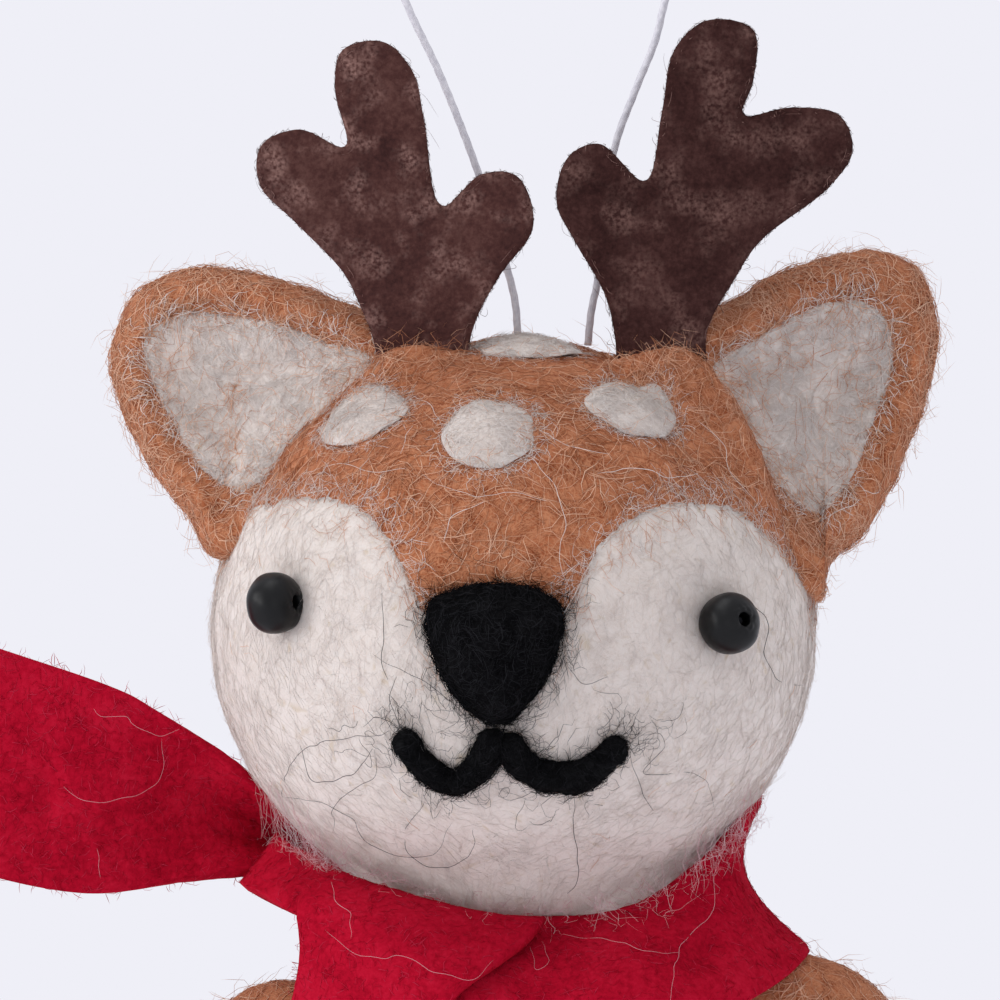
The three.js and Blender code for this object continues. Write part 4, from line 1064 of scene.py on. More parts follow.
for side, ear in EARS.items():
    ear_surface, lining_surface = ear_surface_of(ear), lining_surface_of(ear)
    ear_wool = mesh_piece(f"{side}_ear", *skin_of(ear_surface, 64, 170), tan_wool)
    belongs(ear_wool, "toy", [f"ear_{side}"])
    lining = mesh_piece(f"{side}_ear_inside", *skin_of(lining_surface, 44, 120), white_wool)
    belongs(lining, "toy", [f"ear_lining_{side}"])
    lining_edge = lining_surface(np.arange(240) / 240, np.full(240, FRONT_SHARE - 0.01))
    grow(f"{side}_ear_fibres", ear_surface, "tan_wool", 44, [
        lie(3400, 3.2, curl=420, tone=(0.4, 1)),
        lie(900, 4.2, FINE_FIBRE, curl=800, arch=0.5, steps=6, tone=(0.6, 1)),
        stand(2000, 2.6, 1.9, FINE_HAIR, tone=(0.7, 1)),
    ])
    grow(f"{side}_ear_inside_fibres", lining_surface, "white_wool", 45, [
        lie(2000, 2.8, 0.035 * MM, curl=480, flat=0.03, arch=0.2, tone=(0.3, 1), v_range=LINING_FRONT),
        stand(300, 2.0, 0.9, tone=(0.5, 1), v_range=(0.1, FRONT_SHARE)),
    ])
    grow(f"{side}_ear_white_wisps", ear_surface, "white_wool", 46, [
        lie(620, 1.9, FINE_FIBRE, curl=600, flat=0.3, arch=0.4, weight=near_line(lining_edge, 0.8 * MM)),
    ])
    grow(f"{side}_ear_tan_wisps", lining_surface, "tan_wool", 47, [
        lie(260, 2.2, HAIR, curl=600, arch=0.5, tone=(0.3, 1), v_range=(0.35, FRONT_SHARE)),
        lie(90, 3.0, HAIR, curl=500, arch=0.6, tone=(0.3, 1), v_range=(0.01, FRONT_SHARE)),
    ])

# %% [markdown]
# Antlers are die-cut from felt sheet and sewn into the crown. The outline is filled and given its
# thickness, then remeshed finely so that its cut edge rounds over and its faces can undulate as soft
# sheet does.

# %% Antlers
ANTLER_SHEET = 1.2 * MM
ANTLER_AHEAD = 6.6 * MM
ANTLER_VOXEL = 0.3 * MM
ANTLERS = {
    "left": dict(
        size=np.array([21.8, 28.5]) * MM, place=(-0.388, 1.412),
        outline=[
            (-0.12, -1.0), (-0.16, -0.69), (-0.27, -0.47), (-0.39, -0.29), (-0.74, -0.01), (-1.0, 0.2),
            (-0.99, 0.42), (-0.71, 0.51), (-0.37, 0.41), (-0.45, 0.73), (-0.4, 0.95), (-0.1, 1.0),
            (0.12, 0.83), (0.2, 0.57), (0.33, 0.08), (0.62, 0.26), (0.88, 0.25), (1.0, -0.03), (0.76, -0.3),
            (0.6, -0.52), (0.53, -0.69), (0.49, -1.0),
        ],
    ),
    "right": dict(
        size=np.array([23.6, 30.2]) * MM, place=(0.629, 1.449),
        outline=[
            (-0.57, -1.0), (-0.6, -0.7), (-0.67, -0.45), (-0.88, -0.16), (-1.0, 0.04), (-0.92, 0.28),
            (-0.71, 0.35), (-0.4, 0.15), (-0.29, 0.51), (-0.2, 0.85), (0.02, 1.0), (0.33, 0.95), (0.33, 0.68),
            (0.26, 0.5), (0.57, 0.54), (0.91, 0.5), (1.0, 0.31), (0.84, 0.12), (0.37, -0.17), (0.2, -0.37),
            (0.02, -0.63), (-0.02, -1.0),
        ],
    ),
}


def antler_outline(antler, count):
    """Points round the antler in the upright plane, in the object's frame."""
    drawn = np.array(antler["outline"]) * antler["size"] / 2
    flat = smooth_line(drawn, np.arange(count) / count, closed=True)
    flat = flat + np.array(antler["place"]) * HEAD_HALF[[0, 2]]
    return HEAD_MIDDLE + np.stack([flat[:, 0], np.full(count, -ANTLER_AHEAD), flat[:, 1]], -1)


def felt_slab(name, outline, thickness, voxel, material):
    """A sheet of that outline: one many-sided face made solid, remeshed and made uneven."""
    mesh = bpy.data.meshes.new(name)
    mesh.from_pydata((outline - [0, thickness / 2, 0]).tolist(), [], [list(range(len(outline)))])
    slab = bpy.data.objects.new(name, mesh)
    bpy.context.scene.collection.objects.link(slab)
    solidify = slab.modifiers.new("thickness", "SOLIDIFY")
    solidify.thickness = thickness
    solidify.offset = 0
    remesh = slab.modifiers.new("fine", "REMESH")
    remesh.mode = "VOXEL"
    remesh.voxel_size = voxel
    soften = slab.modifiers.new("soften", "SMOOTH")
    soften.iterations = 2
    soften.factor = 0.5
    shaped = bpy.data.meshes.new_from_object(slab.evaluated_get(bpy.context.evaluated_depsgraph_get()))
    bpy.data.objects.remove(slab)
    shaped.calc_loop_triangles()
    points = np.zeros(len(shaped.vertices) * 3)
    shaped.vertices.foreach_get("co", points)
    points = points.reshape(-1, 3)
    corners = np.zeros(len(shaped.loop_triangles) * 3, np.int64)
    shaped.loop_triangles.foreach_get("vertices", corners)
    points = points + [0, thickness / 2, 0]
    points[:, 1] += 0.12 * MM * lumps(points * [1, 0, 1], 8 * MM, 51)
    grain = 0.06 * MM * lumps(points, 1.2 * MM, 52) + 0.035 * MM * lumps(points, 0.6 * MM, 53)
    points[:, 1] += grain * np.sign(points[:, 1] - outline[0, 1])
    bpy.data.meshes.remove(shaped)
    return mesh_piece(name, points, corners.reshape(-1, 3), material)


def signed_area(outline):
    """Area inside an outline in the upright plane, below zero if it runs the other way round: half the sum
    of the cross products of neighbouring corners."""
    x, z = outline[:, 0], outline[:, 2]
    return float((x * np.roll(z, -1) - np.roll(x, -1) * z).sum()) / 2


def slab_edge(outline, thickness):
    """The cut edge as a surface: u goes round the outline and v across the thickness, a little rounded."""
    closed = np.vstack([outline, outline[:1]])
    steps = np.linspace(0, 1, len(closed))
    along = unit(np.roll(outline, -1, 0) - np.roll(outline, 1, 0))
    turned = np.stack([along[:, 2], np.zeros(len(along)), -along[:, 0]], -1)
    normals = np.vstack([turned, turned[:1]]) * np.sign(signed_area(outline))

    def surface(u, v):
        t = np.mod(u, 1)
        point = np.stack([np.interp(t, steps, closed[:, k]) for k in range(3)], -1)
        out = unit(np.stack([np.interp(t, steps, normals[:, k]) for k in range(3)], -1))
        across = math.pi * (v - 0.5)
        spread = np.stack([out[..., 0] * np.cos(across), np.sin(across), out[..., 2] * np.cos(across)], -1)
        return point + spread * thickness / 2 - out * thickness * 0.45

    return surface


for side, antler in ANTLERS.items():
    outline = antler_outline(antler, 260)
    felt = felt_slab(f"{side}_antler", outline, ANTLER_SHEET, ANTLER_VOXEL, antler_felts[side])
    belongs(felt, "toy", [f"antler_{side}"])
    grow(f"{side}_antler_fuzz", slab_edge(outline, ANTLER_SHEET), "antler_felt", 54, [
        stand(1500, 0.6, 0.25, 0.04 * MM, curl=900, steps=3),
        stand(70, 2.4, 1.2, curl=500, tone=(0.4, 1), steps=7),
    ])

# %% [markdown]
# Nose and spots are small pads of wool needled onto the head. A pad's outline is drawn on the plane that
# touches the head, carried onto the head along rays from its middle, and raised as a dome.


# %% Pads of wool
PAD_TOP = 0.7
PAD_EDGE = 0.69
PAD_SUNK = 1.2 * MM
ON_PAD = (0.002, PAD_EDGE)


def pad_surface(centre, outline, rise, seed, power=0.5, depth=0.12 * MM):
    """A pad on the head: v from 0 to 0.7 goes from the top of the dome to its edge, and from there to 1
    under the head's surface to the middle again."""
    middle = centre - HEAD_MIDDLE
    normal = unit(middle / HEAD_HALF**2)
    level = np.cross([0.0, 0.0, 1.0], normal)
    across = unit(level) if np.linalg.norm(level) > 0.5 else np.array([1.0, 0.0, 0.0])
    up = np.cross(normal, across)

    def surface(u, v):
        edge = smooth_line(outline, u, closed=True)
        shown = v < PAD_TOP
        out, back = np.clip(v / PAD_TOP, 0, 1), (v - PAD_TOP) / (1 - PAD_TOP)
        share = np.where(shown, np.sin(math.pi / 2 * out), 1 - back)
        lift = np.where(shown, rise * np.clip(1 - share**2, 0, 1) ** power, -PAD_SUNK * (1 - share))
        flat = edge * share[..., None]
        ray = middle + across * flat[..., :1] + up * flat[..., 1:]
        reach = np.linalg.norm(ray / (HEAD_HALF + lift[..., None]), axis=-1, keepdims=True)
        point = HEAD_MIDDLE + ray / reach
        return point + root_rise(point) + unit(ray) * (wool_lift(point, seed, depth) * shown)[..., None]

    return surface


def oval(width, height, turned, ragged, seed, count=14):
    """An oval outline, turned by some degrees and ragged by a share of its size."""
    angle = np.arange(count) / count * TURN
    rough = 1 + ragged * np.random.default_rng(seed).normal(size=count)
    x, y = np.cos(angle) * rough * width / 2, np.sin(angle) * rough * height / 2
    turn = math.radians(turned)
    return np.stack([x * math.cos(turn) - y * math.sin(turn), x * math.sin(turn) + y * math.cos(turn)], -1)


NOSE_SIZE = np.array([10.5, 11.1]) * MM
NOSE_RISE = 3.9 * MM
NOSE_PLACE = on_face(-0.061, -0.081, 0)
NOSE_OUTLINE = np.array([
    (-1.0, 0.74), (-0.94, 0.04), (-0.61, -0.57), (-0.19, -0.93), (0.1, -1.0), (0.53, -0.64),
    (0.89, -0.03), (1.0, 0.65), (0.6, 0.93), (0.03, 1.0), (-0.61, 0.92),
])
nose_surface = pad_surface(NOSE_PLACE, NOSE_OUTLINE * NOSE_SIZE / 2, NOSE_RISE, 61, depth=0.15 * MM)
nose = mesh_piece("nose_pad", *skin_of(nose_surface, 50, 120), black_wool)
belongs(nose, "toy", ["nose"])
grow("nose_fibres", nose_surface, "black_wool", 62, [
    lie(2600, 2.0, 0.055 * MM, curl=700, v_range=ON_PAD),
    lie(260, 2.6, HAIR, curl=900, arch=0.5, steps=6, v_range=ON_PAD, tone=(0.8, 1)),
    stand(1300, 1.5, 0.9, curl=1100, v_range=(0.45, PAD_EDGE), tone=(0, 0.6)),
])
nose_edge = nose_surface(np.arange(160) / 160, np.full(160, PAD_EDGE))
edge_near, edge_far = (near_line(nose_edge, width * MM) for width in (0.6, 1.3))
for name, ground in (("nose_wisps_on_tan", tan_ball), ("nose_wisps_on_white", white_patch)):
    grow(name, ground, "black_wool", 63, [
        lie(420, 1.8, HAIR, curl=1000, flat=0.2, arch=0.6, weight=edge_near, tone=(0, 0.7)),
        lie(70, 3.0, FINE_HAIR, curl=900, flat=0.2, arch=0.9, steps=7, weight=edge_far),
    ])

# %% [markdown]
# Each spot is given by its place on the head, its width and height in millimetres and a turn in degrees.
# White fibres lie across its border on the tan, and a few tan ones lie back over the white, so that the
# border is soft.

# %% Spots
SPOT_RISE = 0.7 * MM
SPOT_RAGGED = 0.06
SPOTS = {
    "spot_left": (on_face(-0.496, 0.718, 0), 7.9, 5.3, 26),
    "spot_centre": (on_face(-0.079, 0.678, 0), 7.6, 7.4, 0),
    "spot_right": (on_face(0.39, 0.752, 0), 7.9, 5.9, -20),
}
crown_ray = np.array([0.04, -0.2, 1.0])
crown_place = HEAD_MIDDLE + crown_ray / np.linalg.norm(crown_ray / HEAD_HALF)
SPOTS["spot_crown"] = (crown_place, 8.6, 7.4, 0)
spot_edges = []
for number, (node, (centre, width, height, turned)) in enumerate(SPOTS.items()):
    outline = oval(width * MM, height * MM, turned, SPOT_RAGGED, number)
    spot_surface = pad_surface(centre, outline, SPOT_RISE, 64 + number, power=0.85, depth=0.08 * MM)
    spot = mesh_piece(f"{node}_pad", *skin_of(spot_surface, 30, 70), white_wool)
    belongs(spot, "toy", [node])
    spot_edges.append(spot_surface(np.arange(80) / 80, np.full(80, PAD_EDGE)))
    border = near_line(spot_edges[-1], 0.7 * MM)
    grow(f"{node}_fibres", spot_surface, "white_wool", 70 + number, [
        lie(760, 2.0, FINE_HAIR, curl=700, tone=(0.3, 1), v_range=ON_PAD),
        stand(160, 1.4, 0.6, curl=900, tone=(0.5, 1), v_range=(0.4, PAD_EDGE)),
    ])
    grow(f"{node}_tan_wisps", spot_surface, "tan_wool", 80 + number, [
        lie(110, 1.8, HAIR, curl=700, flat=0.1, arch=0.3, tone=(0.4, 1), weight=border),
    ])
borders = near_line(np.vstack(spot_edges), 0.5 * MM)
grow("spot_wisps", tan_ball, "white_wool", 75, [
    lie(1900, 1.5, FINE_HAIR, curl=900, flat=0.1, arch=0.3, tone=(0.4, 1), weight=borders),
])

# %% [markdown]
# Arms, legs, tail and the two strokes of the mouth are all rolls of wool: a round section carried along
# a route, swelling and tapering, with a domed end.


# %% Rolls of wool
def roll_surface(route, root_radius, tip_radius, reference, seed, depth, span=(0.0, 1.0), thicker=0.0):
    """A roll along a route: v goes from root to tip, or over a span of its length. Within one radius of
    an end the section shrinks as a half ball does. It may be thicker by a length all round."""
    line = smooth_line(route, np.linspace(0, 1, 240))
    travelled = np.concatenate([[0], np.cumsum(np.linalg.norm(np.diff(line, axis=0), axis=1))])
    length = travelled[-1]
    tangents = unit(np.gradient(line, axis=0))

    def along(values, place):
        return np.stack([np.interp(place, travelled, values[:, k]) for k in range(3)], -1)

    def surface(u, v):
        share = span[0] + (span[1] - span[0]) * v
        place = length * (1 - np.cos(math.pi * share)) / 2
        radius = root_radius + (tip_radius - root_radius) * place / length
        near_end = np.clip(np.minimum(place, length - place) / radius, 0, 1)
        round_off = np.sqrt(np.clip(1 - (1 - near_end) ** 2, 0, 1))
        tangent = unit(along(tangents, place))
        first = unit(reference - tangent * (tangent @ reference)[..., None])
        second = np.cross(tangent, first)
        angle = TURN * u
        outward = np.cos(angle)[..., None] * first + np.sin(angle)[..., None] * second
        centre = along(line, place)
        point = centre + outward * (radius * round_off)[..., None]
        ahead = np.sign(share - 0.5) * (1 - round_off)
        way = unit(outward * np.maximum(round_off, 1e-3)[..., None] + tangent * ahead[..., None])
        return point + way * (thicker + wool_lift(point, seed, depth))[..., None]

    return surface


# %% Mouth
MOUTH_WIDTH = 17.6 * MM
MOUTH_DROP = 3.8 * MM
MOUTH_STROKE = 2.35 * MM
MOUTH_LIFT = 0.35 * MM
MOUTH_MIDDLE = np.array([-0.041, -0.365])
MOUTH = {
    "left": [
        (-0.035, 0.12), (-0.12, -0.27), (-0.235, -0.68), (-0.42, -0.93), (-0.64, -0.7), (-0.82, -0.24),
        (-0.91, 0.13),
    ],
    "right": [
        (0.03, 0.05), (0.14, -0.42), (0.32, -0.76), (0.55, -0.85), (0.76, -0.74), (0.95, -0.42),
        (1.09, -0.08),
    ],
}
TOWARDS_VIEWER = np.array([0.0, -1.0, 0.0])
mouth_lines = []
for side, shares in MOUTH.items():
    drawn = MOUTH_MIDDLE + np.array(shares) * [MOUTH_WIDTH / 2, MOUTH_DROP] / HEAD_HALF[[0, 2]]
    route = on_face(drawn[:, 0], drawn[:, 1], MOUTH_LIFT)
    mouth_lines.append(smooth_line(route, np.linspace(0, 1, 60)))
    stroke_surface = roll_surface(route, MOUTH_STROKE / 2, MOUTH_STROKE / 2, TOWARDS_VIEWER, 81, 0.15 * MM)
    stroke = mesh_piece(f"mouth_{side}_stroke", *skin_of(stroke_surface, 60, 28), black_wool)
    belongs(stroke, "toy", [f"mouth_{side}"])
    grow(f"mouth_{side}_fibres", stroke_surface, "black_wool", 82, [
        lie(800, 1.5, 0.05 * MM, curl=800),
        stand(800, 1.6, 0.9, curl=1300, tone=(0, 0.6)),
    ])
close_by, further = (near_line(np.vstack(mouth_lines), width * MM) for width in (1.5, 2.2))
grow("mouth_wisps", white_patch, "black_wool", 83, [
    lie(520, 1.8, HAIR, curl=1100, flat=0.2, arch=0.6, weight=close_by, tone=(0, 0.8)),
    lie(60, 3.4, FINE_HAIR, curl=1000, flat=0.2, arch=0.9, steps=9, weight=further),
])

# %% [markdown]
# The eyes are drilled beads. A bead is a circle spun round its bore: the circle's line runs over the
# outside, in through a rounded lip and back through the bore, so one closed profile gives both.

# %% Beads
BEAD_BORE = 1.3 * MM
BORE_RAYS = {"left": unit(np.array([0.85, -0.52, 0.05])), "right": unit(np.array([0.59, -0.79, 0.18]))}
BEAD_SQUARE = 2.25
MARK_SIZE = 0.5 * MM
DUST_SIZE = 1.5 * MM


def bead_skin(centre, ray, rows=60, columns=80):
    """A barrel bead with a bore: a profile of radius and height spun round the bore, closed on itself.
    The outside is a superellipse, a little squarer than an ellipse, and the mouths are ragged."""
    bore = BEAD_BORE / 2
    lip = math.asin((2 * bore / BEAD_DIAMETER) ** (BEAD_SQUARE / 2))
    over = np.linspace(lip, math.pi - lip, rows)
    height = np.sign(np.cos(over)) * np.abs(np.cos(over)) ** (2 / BEAD_SQUARE)
    outer = np.stack([BEAD_DIAMETER / 2 * np.sin(over) ** (2 / BEAD_SQUARE), BEAD_LENGTH / 2 * height], 1)
    mouth = outer[-1, 1]
    inner = np.stack([np.full(12, bore * 0.86), np.linspace(mouth * 0.93, -mouth * 0.93, 12)], 1)
    profile = np.vstack([outer, inner])
    angle = np.arange(columns) / columns * TURN
    side = unit(np.cross(ray, [0.0, 0.0, 1.0]))
    other = np.cross(ray, side)
    spin = np.cos(angle)[None, :, None] * side + np.sin(angle)[None, :, None] * other
    points = centre + profile[:, :1, None] * spin + profile[:, 1:, None] * ray
    rough = np.exp(-(((profile[:, :1] - bore) / (0.45 * MM)) ** 2))
    uneven = 0.04 * MM * lumps(points, 2.2 * MM, 91) + 0.07 * MM * rough * lumps(points, 0.5 * MM, 92)
    points = points + unit(points - centre) * uneven[..., None]
    return points.reshape(-1, 3), grid_triangles(len(profile), columns, wrap_rows=True, wrap_columns=True)


def bead_material():
    """Black moulded plastic: dull, with fine handling marks that break its one soft highlight."""
    material, tree = new_material("black_moulded_plastic")
    place = add(tree, "TexCoord").outputs["Object"]
    marks = add(tree, "TexNoise", {"Vector": place, "Scale": 1 / MARK_SIZE, "Detail": 4.0})
    rough = add(tree, "MapRange", {
        "Value": marks, "From Min": 0.3, "From Max": 0.7, "To Min": 0.32, "To Max": 0.46,
    })
    cloud = add(tree, "TexNoise", {"Vector": place, "Scale": 1 / DUST_SIZE, "Detail": 2.0})
    dark, light = linear(0x030304), linear(0x08090A)
    colour = add(tree, "Mix", {"Factor": cloud, 6: dark, 7: light}, data_type="RGBA").outputs[2]
    bump = add(tree, "Bump", {"Height": marks, "Strength": 0.25, "Distance": 0.03 * MM})
    shader = finish_material(tree, colour, rough, bump=bump, gloss=0.24)
    shader.inputs["IOR"].default_value = 1.5
    return material


bead_plastic = bead_material()
for side, centre in eye_places.items():
    bead = mesh_piece(f"{side}_eye_bead", *bead_skin(centre, BORE_RAYS[side]), bead_plastic)
    belongs(bead, "toy", [f"eye_bead_{side}"])

# %% [markdown]
# The pieces that hardly show keep their solids and only get their real finish.

# %% Hidden pieces
for node, material in {
    "eye_thread_left": black_thread, "eye_thread_right": black_thread, "cord_stitch": loop_thread,
    "head_core": core_wool, "body_core": core_wool, "neck_stem": core_wool,
}.items():
    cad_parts[node].data.materials.clear()
    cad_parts[node].data.materials.append(material)

# %% [markdown]
# Below the photograph's edge the toy is estimated: a pear of tan wool, with limbs that taper to dark
# hooves and a short tail. The torso's profile is spun round its axis and flattened from front to back.

# %% Body
BODY_SIZE = np.array([36.0, 31.0, 41.0]) * MM
BODY_TOP = HEAD_MIDDLE + np.array([1.9 * MM, 0, -HEAD_HALF[2] - 3 * MM])
BODY_SHARES = [
    (0, 0), (0.4, 0.0), (0.64, 0.07), (0.83, 0.2), (0.95, 0.4), (1.0, 0.6), (0.96, 0.77), (0.8, 0.91),
    (0.45, 0.99), (0, 1),
]


def torso(u, v):
    """The spun profile: v goes down from the neck to the seat."""
    radius, drop = np.moveaxis(smooth_line(BODY_SHARES, v, even=0), -1, 0)
    angle = -TURN * u
    spread = np.stack([np.cos(angle), np.sin(angle), 0 * angle], -1) * np.maximum(radius, 0)[..., None]
    point = BODY_TOP + (spread + np.stack([0 * drop, 0 * drop, -2 * drop], -1)) * BODY_SIZE / 2
    way = unit(spread + np.stack([0 * drop, 0 * drop, 0.6 * (0.5 - drop)], -1))
    return point + way * wool_lift(point, 101)[..., None]


body_wool = mesh_piece("body_wool", *skin_of(torso, 80, 160), tan_wool)
belongs(body_wool, "toy", ["body_coat"])
grow("body_wool_fibres", torso, "tan_wool", 102, [
    lie(3400, 3.6, tone=(0.5, 1), v_range=(0.12, 0.998)),
    stand(1100, 3.4, 2.2, tone=(0.45, 1), v_range=(0.15, 0.998)),
])


# %% Limbs and tail
def on_body(shares):
    """Places given as shares of half the body's width, half its depth and its height."""
    return BODY_TOP + np.array(shares) * BODY_SIZE * [0.5, 0.5, 1.0]


ARM_RADII = (5.2, 4.3)
LEG_RADII = (6.2, 5.0)
HOOF_FROM = 0.66
HOOF_THICKER = 0.12 * MM
FORWARD = np.array([0.0, 1.0, 0.0])
LIMBS = {
    "arm_left": dict(
        route=[(-0.85, -0.05, -0.15), (-1.2, -0.08, -0.19), (-1.42, -0.14, -0.36), (-1.52, -0.2, -0.6)],
        radii=ARM_RADII, hoof="hand_hoof_left", body="left_arm"),
    "arm_right": dict(
        route=[(0.85, -0.05, -0.12), (1.25, -0.06, -0.135), (1.54, -0.12, -0.3), (1.67, -0.2, -0.53)],
        radii=ARM_RADII, hoof="hand_hoof_right", body="right_arm"),
    "leg_left": dict(
        route=[(-0.46, -0.04, -0.9), (-0.5, -0.1, -1.18), (-0.52, -0.14, -1.5)],
        radii=LEG_RADII, hoof="foot_hoof_left", body="left_leg"),
    "leg_right": dict(
        route=[(0.46, -0.04, -0.9), (0.5, -0.1, -1.18), (0.52, -0.14, -1.5)],
        radii=LEG_RADII, hoof="foot_hoof_right", body="right_leg"),
}


def bend_at_root(piece):
    """Bakes the piece's transform into its points."""
    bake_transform(piece)


for number, (name, limb) in enumerate(LIMBS.items()):
    route = on_body(limb["route"])
    root, tip = (r * MM for r in limb["radii"])
    seed = 110 + 4 * number
    wool = roll_surface(route, root, tip, FORWARD, seed, 0.16 * MM, span=(0.0, HOOF_FROM + 0.03))
    whole = mesh_piece(f"{name}_wool", *skin_of(wool, 60, 80), tan_wool)
    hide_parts(name)
    hair = fibres(f"{name}_fibres", wool, tan_fibre, [
        lie(950, 3.2, tone=(0.5, 1), v_range=(0.1, 0.998)),
        stand(420, 3.2, 2.2, tone=(0.45, 1), v_range=(0.15, 0.998)),
    ], seed + 1)
    for piece in (whole, hair):
        bend_at_root(piece)
    toe = roll_surface(
        route, root, tip, FORWARD, seed, 0.14 * MM, span=(HOOF_FROM, 1.0), thicker=HOOF_THICKER
    )
    hoof = mesh_piece(f"{limb['hoof']}_wool", *skin_of(toe, 36, 60), hoof_wool)
    belongs(hoof, limb["body"], [limb["hoof"]])
    grow(f"{limb['hoof']}_fibres", toe, "hoof_wool", seed + 2, [
        lie(420, 2.2, v_range=(0.06, 0.998)),
        stand(160, 1.9, 1.0, tone=(0.4, 1), v_range=(0.1, 0.998)),
    ], limb["body"])

TAIL_LENGTH = 13 * MM
TAIL_RADII = (3.5 * MM, 2.45 * MM)
SIDEWAYS = np.array([1.0, 0.0, 0.0])
tail_root = on_body([(0, 0.86, -0.74)])[0]
tail_tip = tail_root + np.array([0, 0.8, 0.6]) * TAIL_LENGTH
tail_route = np.array([tail_root, (tail_root + tail_tip) / 2, tail_tip])
tail_surface = roll_surface(tail_route, *TAIL_RADII, SIDEWAYS, 131, 0.15 * MM)
tail_wool = mesh_piece("tail_wool", *skin_of(tail_surface, 40, 60), tan_wool)
belongs(tail_wool, "toy", ["tail"])
grow("tail_fibres", tail_surface, "tan_wool", 132, [
    lie(650, 3.0, v_range=(0.1, 0.998)),
    stand(300, 2.8, 1.8, tone=(0.45, 1), v_range=(0.2, 0.998)),
])

# %% [markdown]
# The scarf is one strip of red felt. It goes once round the neck, one end comes out at the left through a
# pinch, and the other lies over the wrap and hangs down the front. Felt is stiff, so it stands in broad
# cones and creases only where it is pinched. The wrap is given at eight places round the neck: its radius
# and drop at the top edge, how far it bows between the edges, and its radius and drop at the lower edge.
# A smooth line joins them. Its folds are bells: a height in millimetres, a place and a half width, the
# last two as shares of the way round and down.

# %% Scarf wrap
WRAP_RADIUS = 20 * MM
WRAP_TOP = HEAD_MIDDLE[2] - 0.592 * HEAD_HALF[2]
WRAP_ASIDE = HEAD_MIDDLE[0] + 0.025 * HEAD_HALF[0]
WRAP_STATIONS = np.array([
    (0.94, 0.0, -0.17, 1.135, 0.75),
    (0.66, 0.5, 0.1, 1.09, 1.0),
    (0.49, 0.565, 0.14, 0.97, 1.17),
    (0.64, 0.49, 0.09, 0.99, 0.66),
    (0.95, 0.2, 0.0, 1.115, 0.43),
    (0.93, 0.14, 0.0, 1.05, 0.66),
    (0.88, 0.08, 0.0, 1.0, 0.92),
    (0.91, 0.03, -0.06, 1.06, 0.88),
])
WRAP_WAVE = 0.18 * MM
WRAP_FOLDS = [
    (-1.1, (0.115, 0.55, 0.022, 0.13)),
    (0.5, (0.115, 0.8, 0.04, 0.2)),
    (0.35, (0.17, 0.45, 0.05, 0.4)),
    (-0.5, (0.455, 0.3, 0.014, 0.6)),
    (0.4, (0.425, 0.5, 0.018, 0.6)),
]
EDGE_THINNER = 0.72


def wrap_point(turn, down, lift=0.0):
    """The wrap's middle face: turn goes round from the viewer's right by the front, down from its top."""
    station = smooth_line(WRAP_STATIONS, turn, closed=True, even=0)
    top_radius, top_drop, waist, low_radius, low_drop = np.moveaxis(station, -1, 0)
    bow = waist * np.sin(math.pi * down)
    radius = (top_radius + (low_radius - top_radius) * down + bow) * WRAP_RADIUS + lift
    angle = turn * TURN
    z = WRAP_TOP - SCARF_STRIP * (top_drop + (low_drop - top_drop) * down)
    return np.stack([WRAP_ASIDE + radius * np.cos(angle), HEAD_MIDDLE[1] - radius * np.sin(angle), z], -1)


def bell(turn, down, at_turn, at_down, wide, high):
    """1 at a place of the wrap and falling to 0 round it."""
    away = np.mod(turn - at_turn + 0.5, 1) - 0.5
    return np.exp(-((away / wide) ** 2) - ((down - at_down) / high) ** 2)


def wrap_folds(turn, down):
    """The soft unevenness of the wrap: a dimple at the right, and creases that run into the left pinch."""
    folds = sum(height * MM * bell(turn, down, *place) for height, place in WRAP_FOLDS)
    return folds + WRAP_WAVE * np.sin(TURN * (3 * turn + 0.4 * down)) * down


def sheet_skin(middle, thickness, closed_round=False, grain=0.05 * MM, seed=0):
    """A felt sheet from a grid of points on its middle face: both faces at half the thickness along the
    normals, a rounded cut edge, and a fine unevenness on the faces."""
    rows, columns = middle.shape[:2]
    if closed_round:
        along = np.roll(middle, -1, 1) - np.roll(middle, 1, 1)
    else:
        along = np.gradient(middle, axis=1)
    down = np.gradient(middle, axis=0)
    normal = unit(np.cross(along, down))
    uneven = grain * (lumps(middle, 1.6 * MM, seed) + 0.6 * lumps(middle, 0.7 * MM, seed + 1))
    near_edge = np.ones((rows, columns))
    near_edge[[0, -1]] *= EDGE_THINNER
    if not closed_round:
        near_edge[:, [0, -1]] *= EDGE_THINNER
    half = thickness / 2 * near_edge
    faces = [middle + normal * (side * half + uneven * 0.8)[..., None] for side in (1, -1)]
    points = np.vstack(faces).reshape(-1, 3)
    size = rows * columns
    front = grid_triangles(rows, columns, wrap_columns=closed_round)
    back = front[:, ::-1] + size
    ring = np.arange(columns if closed_round else columns - 1)
    beside = (ring + 1) % columns

    def wall(a, b, flip):
        return np.vstack([np.stack([b, a, a + size], 1), np.stack([b, a + size, b + size], 1)])[:, ::flip]

    ends = ((0, 1), (rows - 1, -1))
    walls = [wall(row * columns + ring, row * columns + beside, flip) for row, flip in ends]
    if not closed_round:
        step = np.arange(rows - 1) * columns
        sides = ((0, -1), (columns - 1, 1))
        walls += [wall(step + column, step + columns + column, flip) for column, flip in sides]
    return points, np.vstack([front, back, *walls])


def sheet_area(middle, closed_round=False):
    """Area of a sheet's middle face, from the grid's cells."""
    if closed_round:
        middle = np.concatenate([middle, middle[:, :1]], 1)
    a = middle[1:, :-1] - middle[:-1, :-1]
    b = middle[:-1, 1:] - middle[:-1, :-1]
    return float(np.linalg.norm(np.cross(a, b), axis=-1).sum())


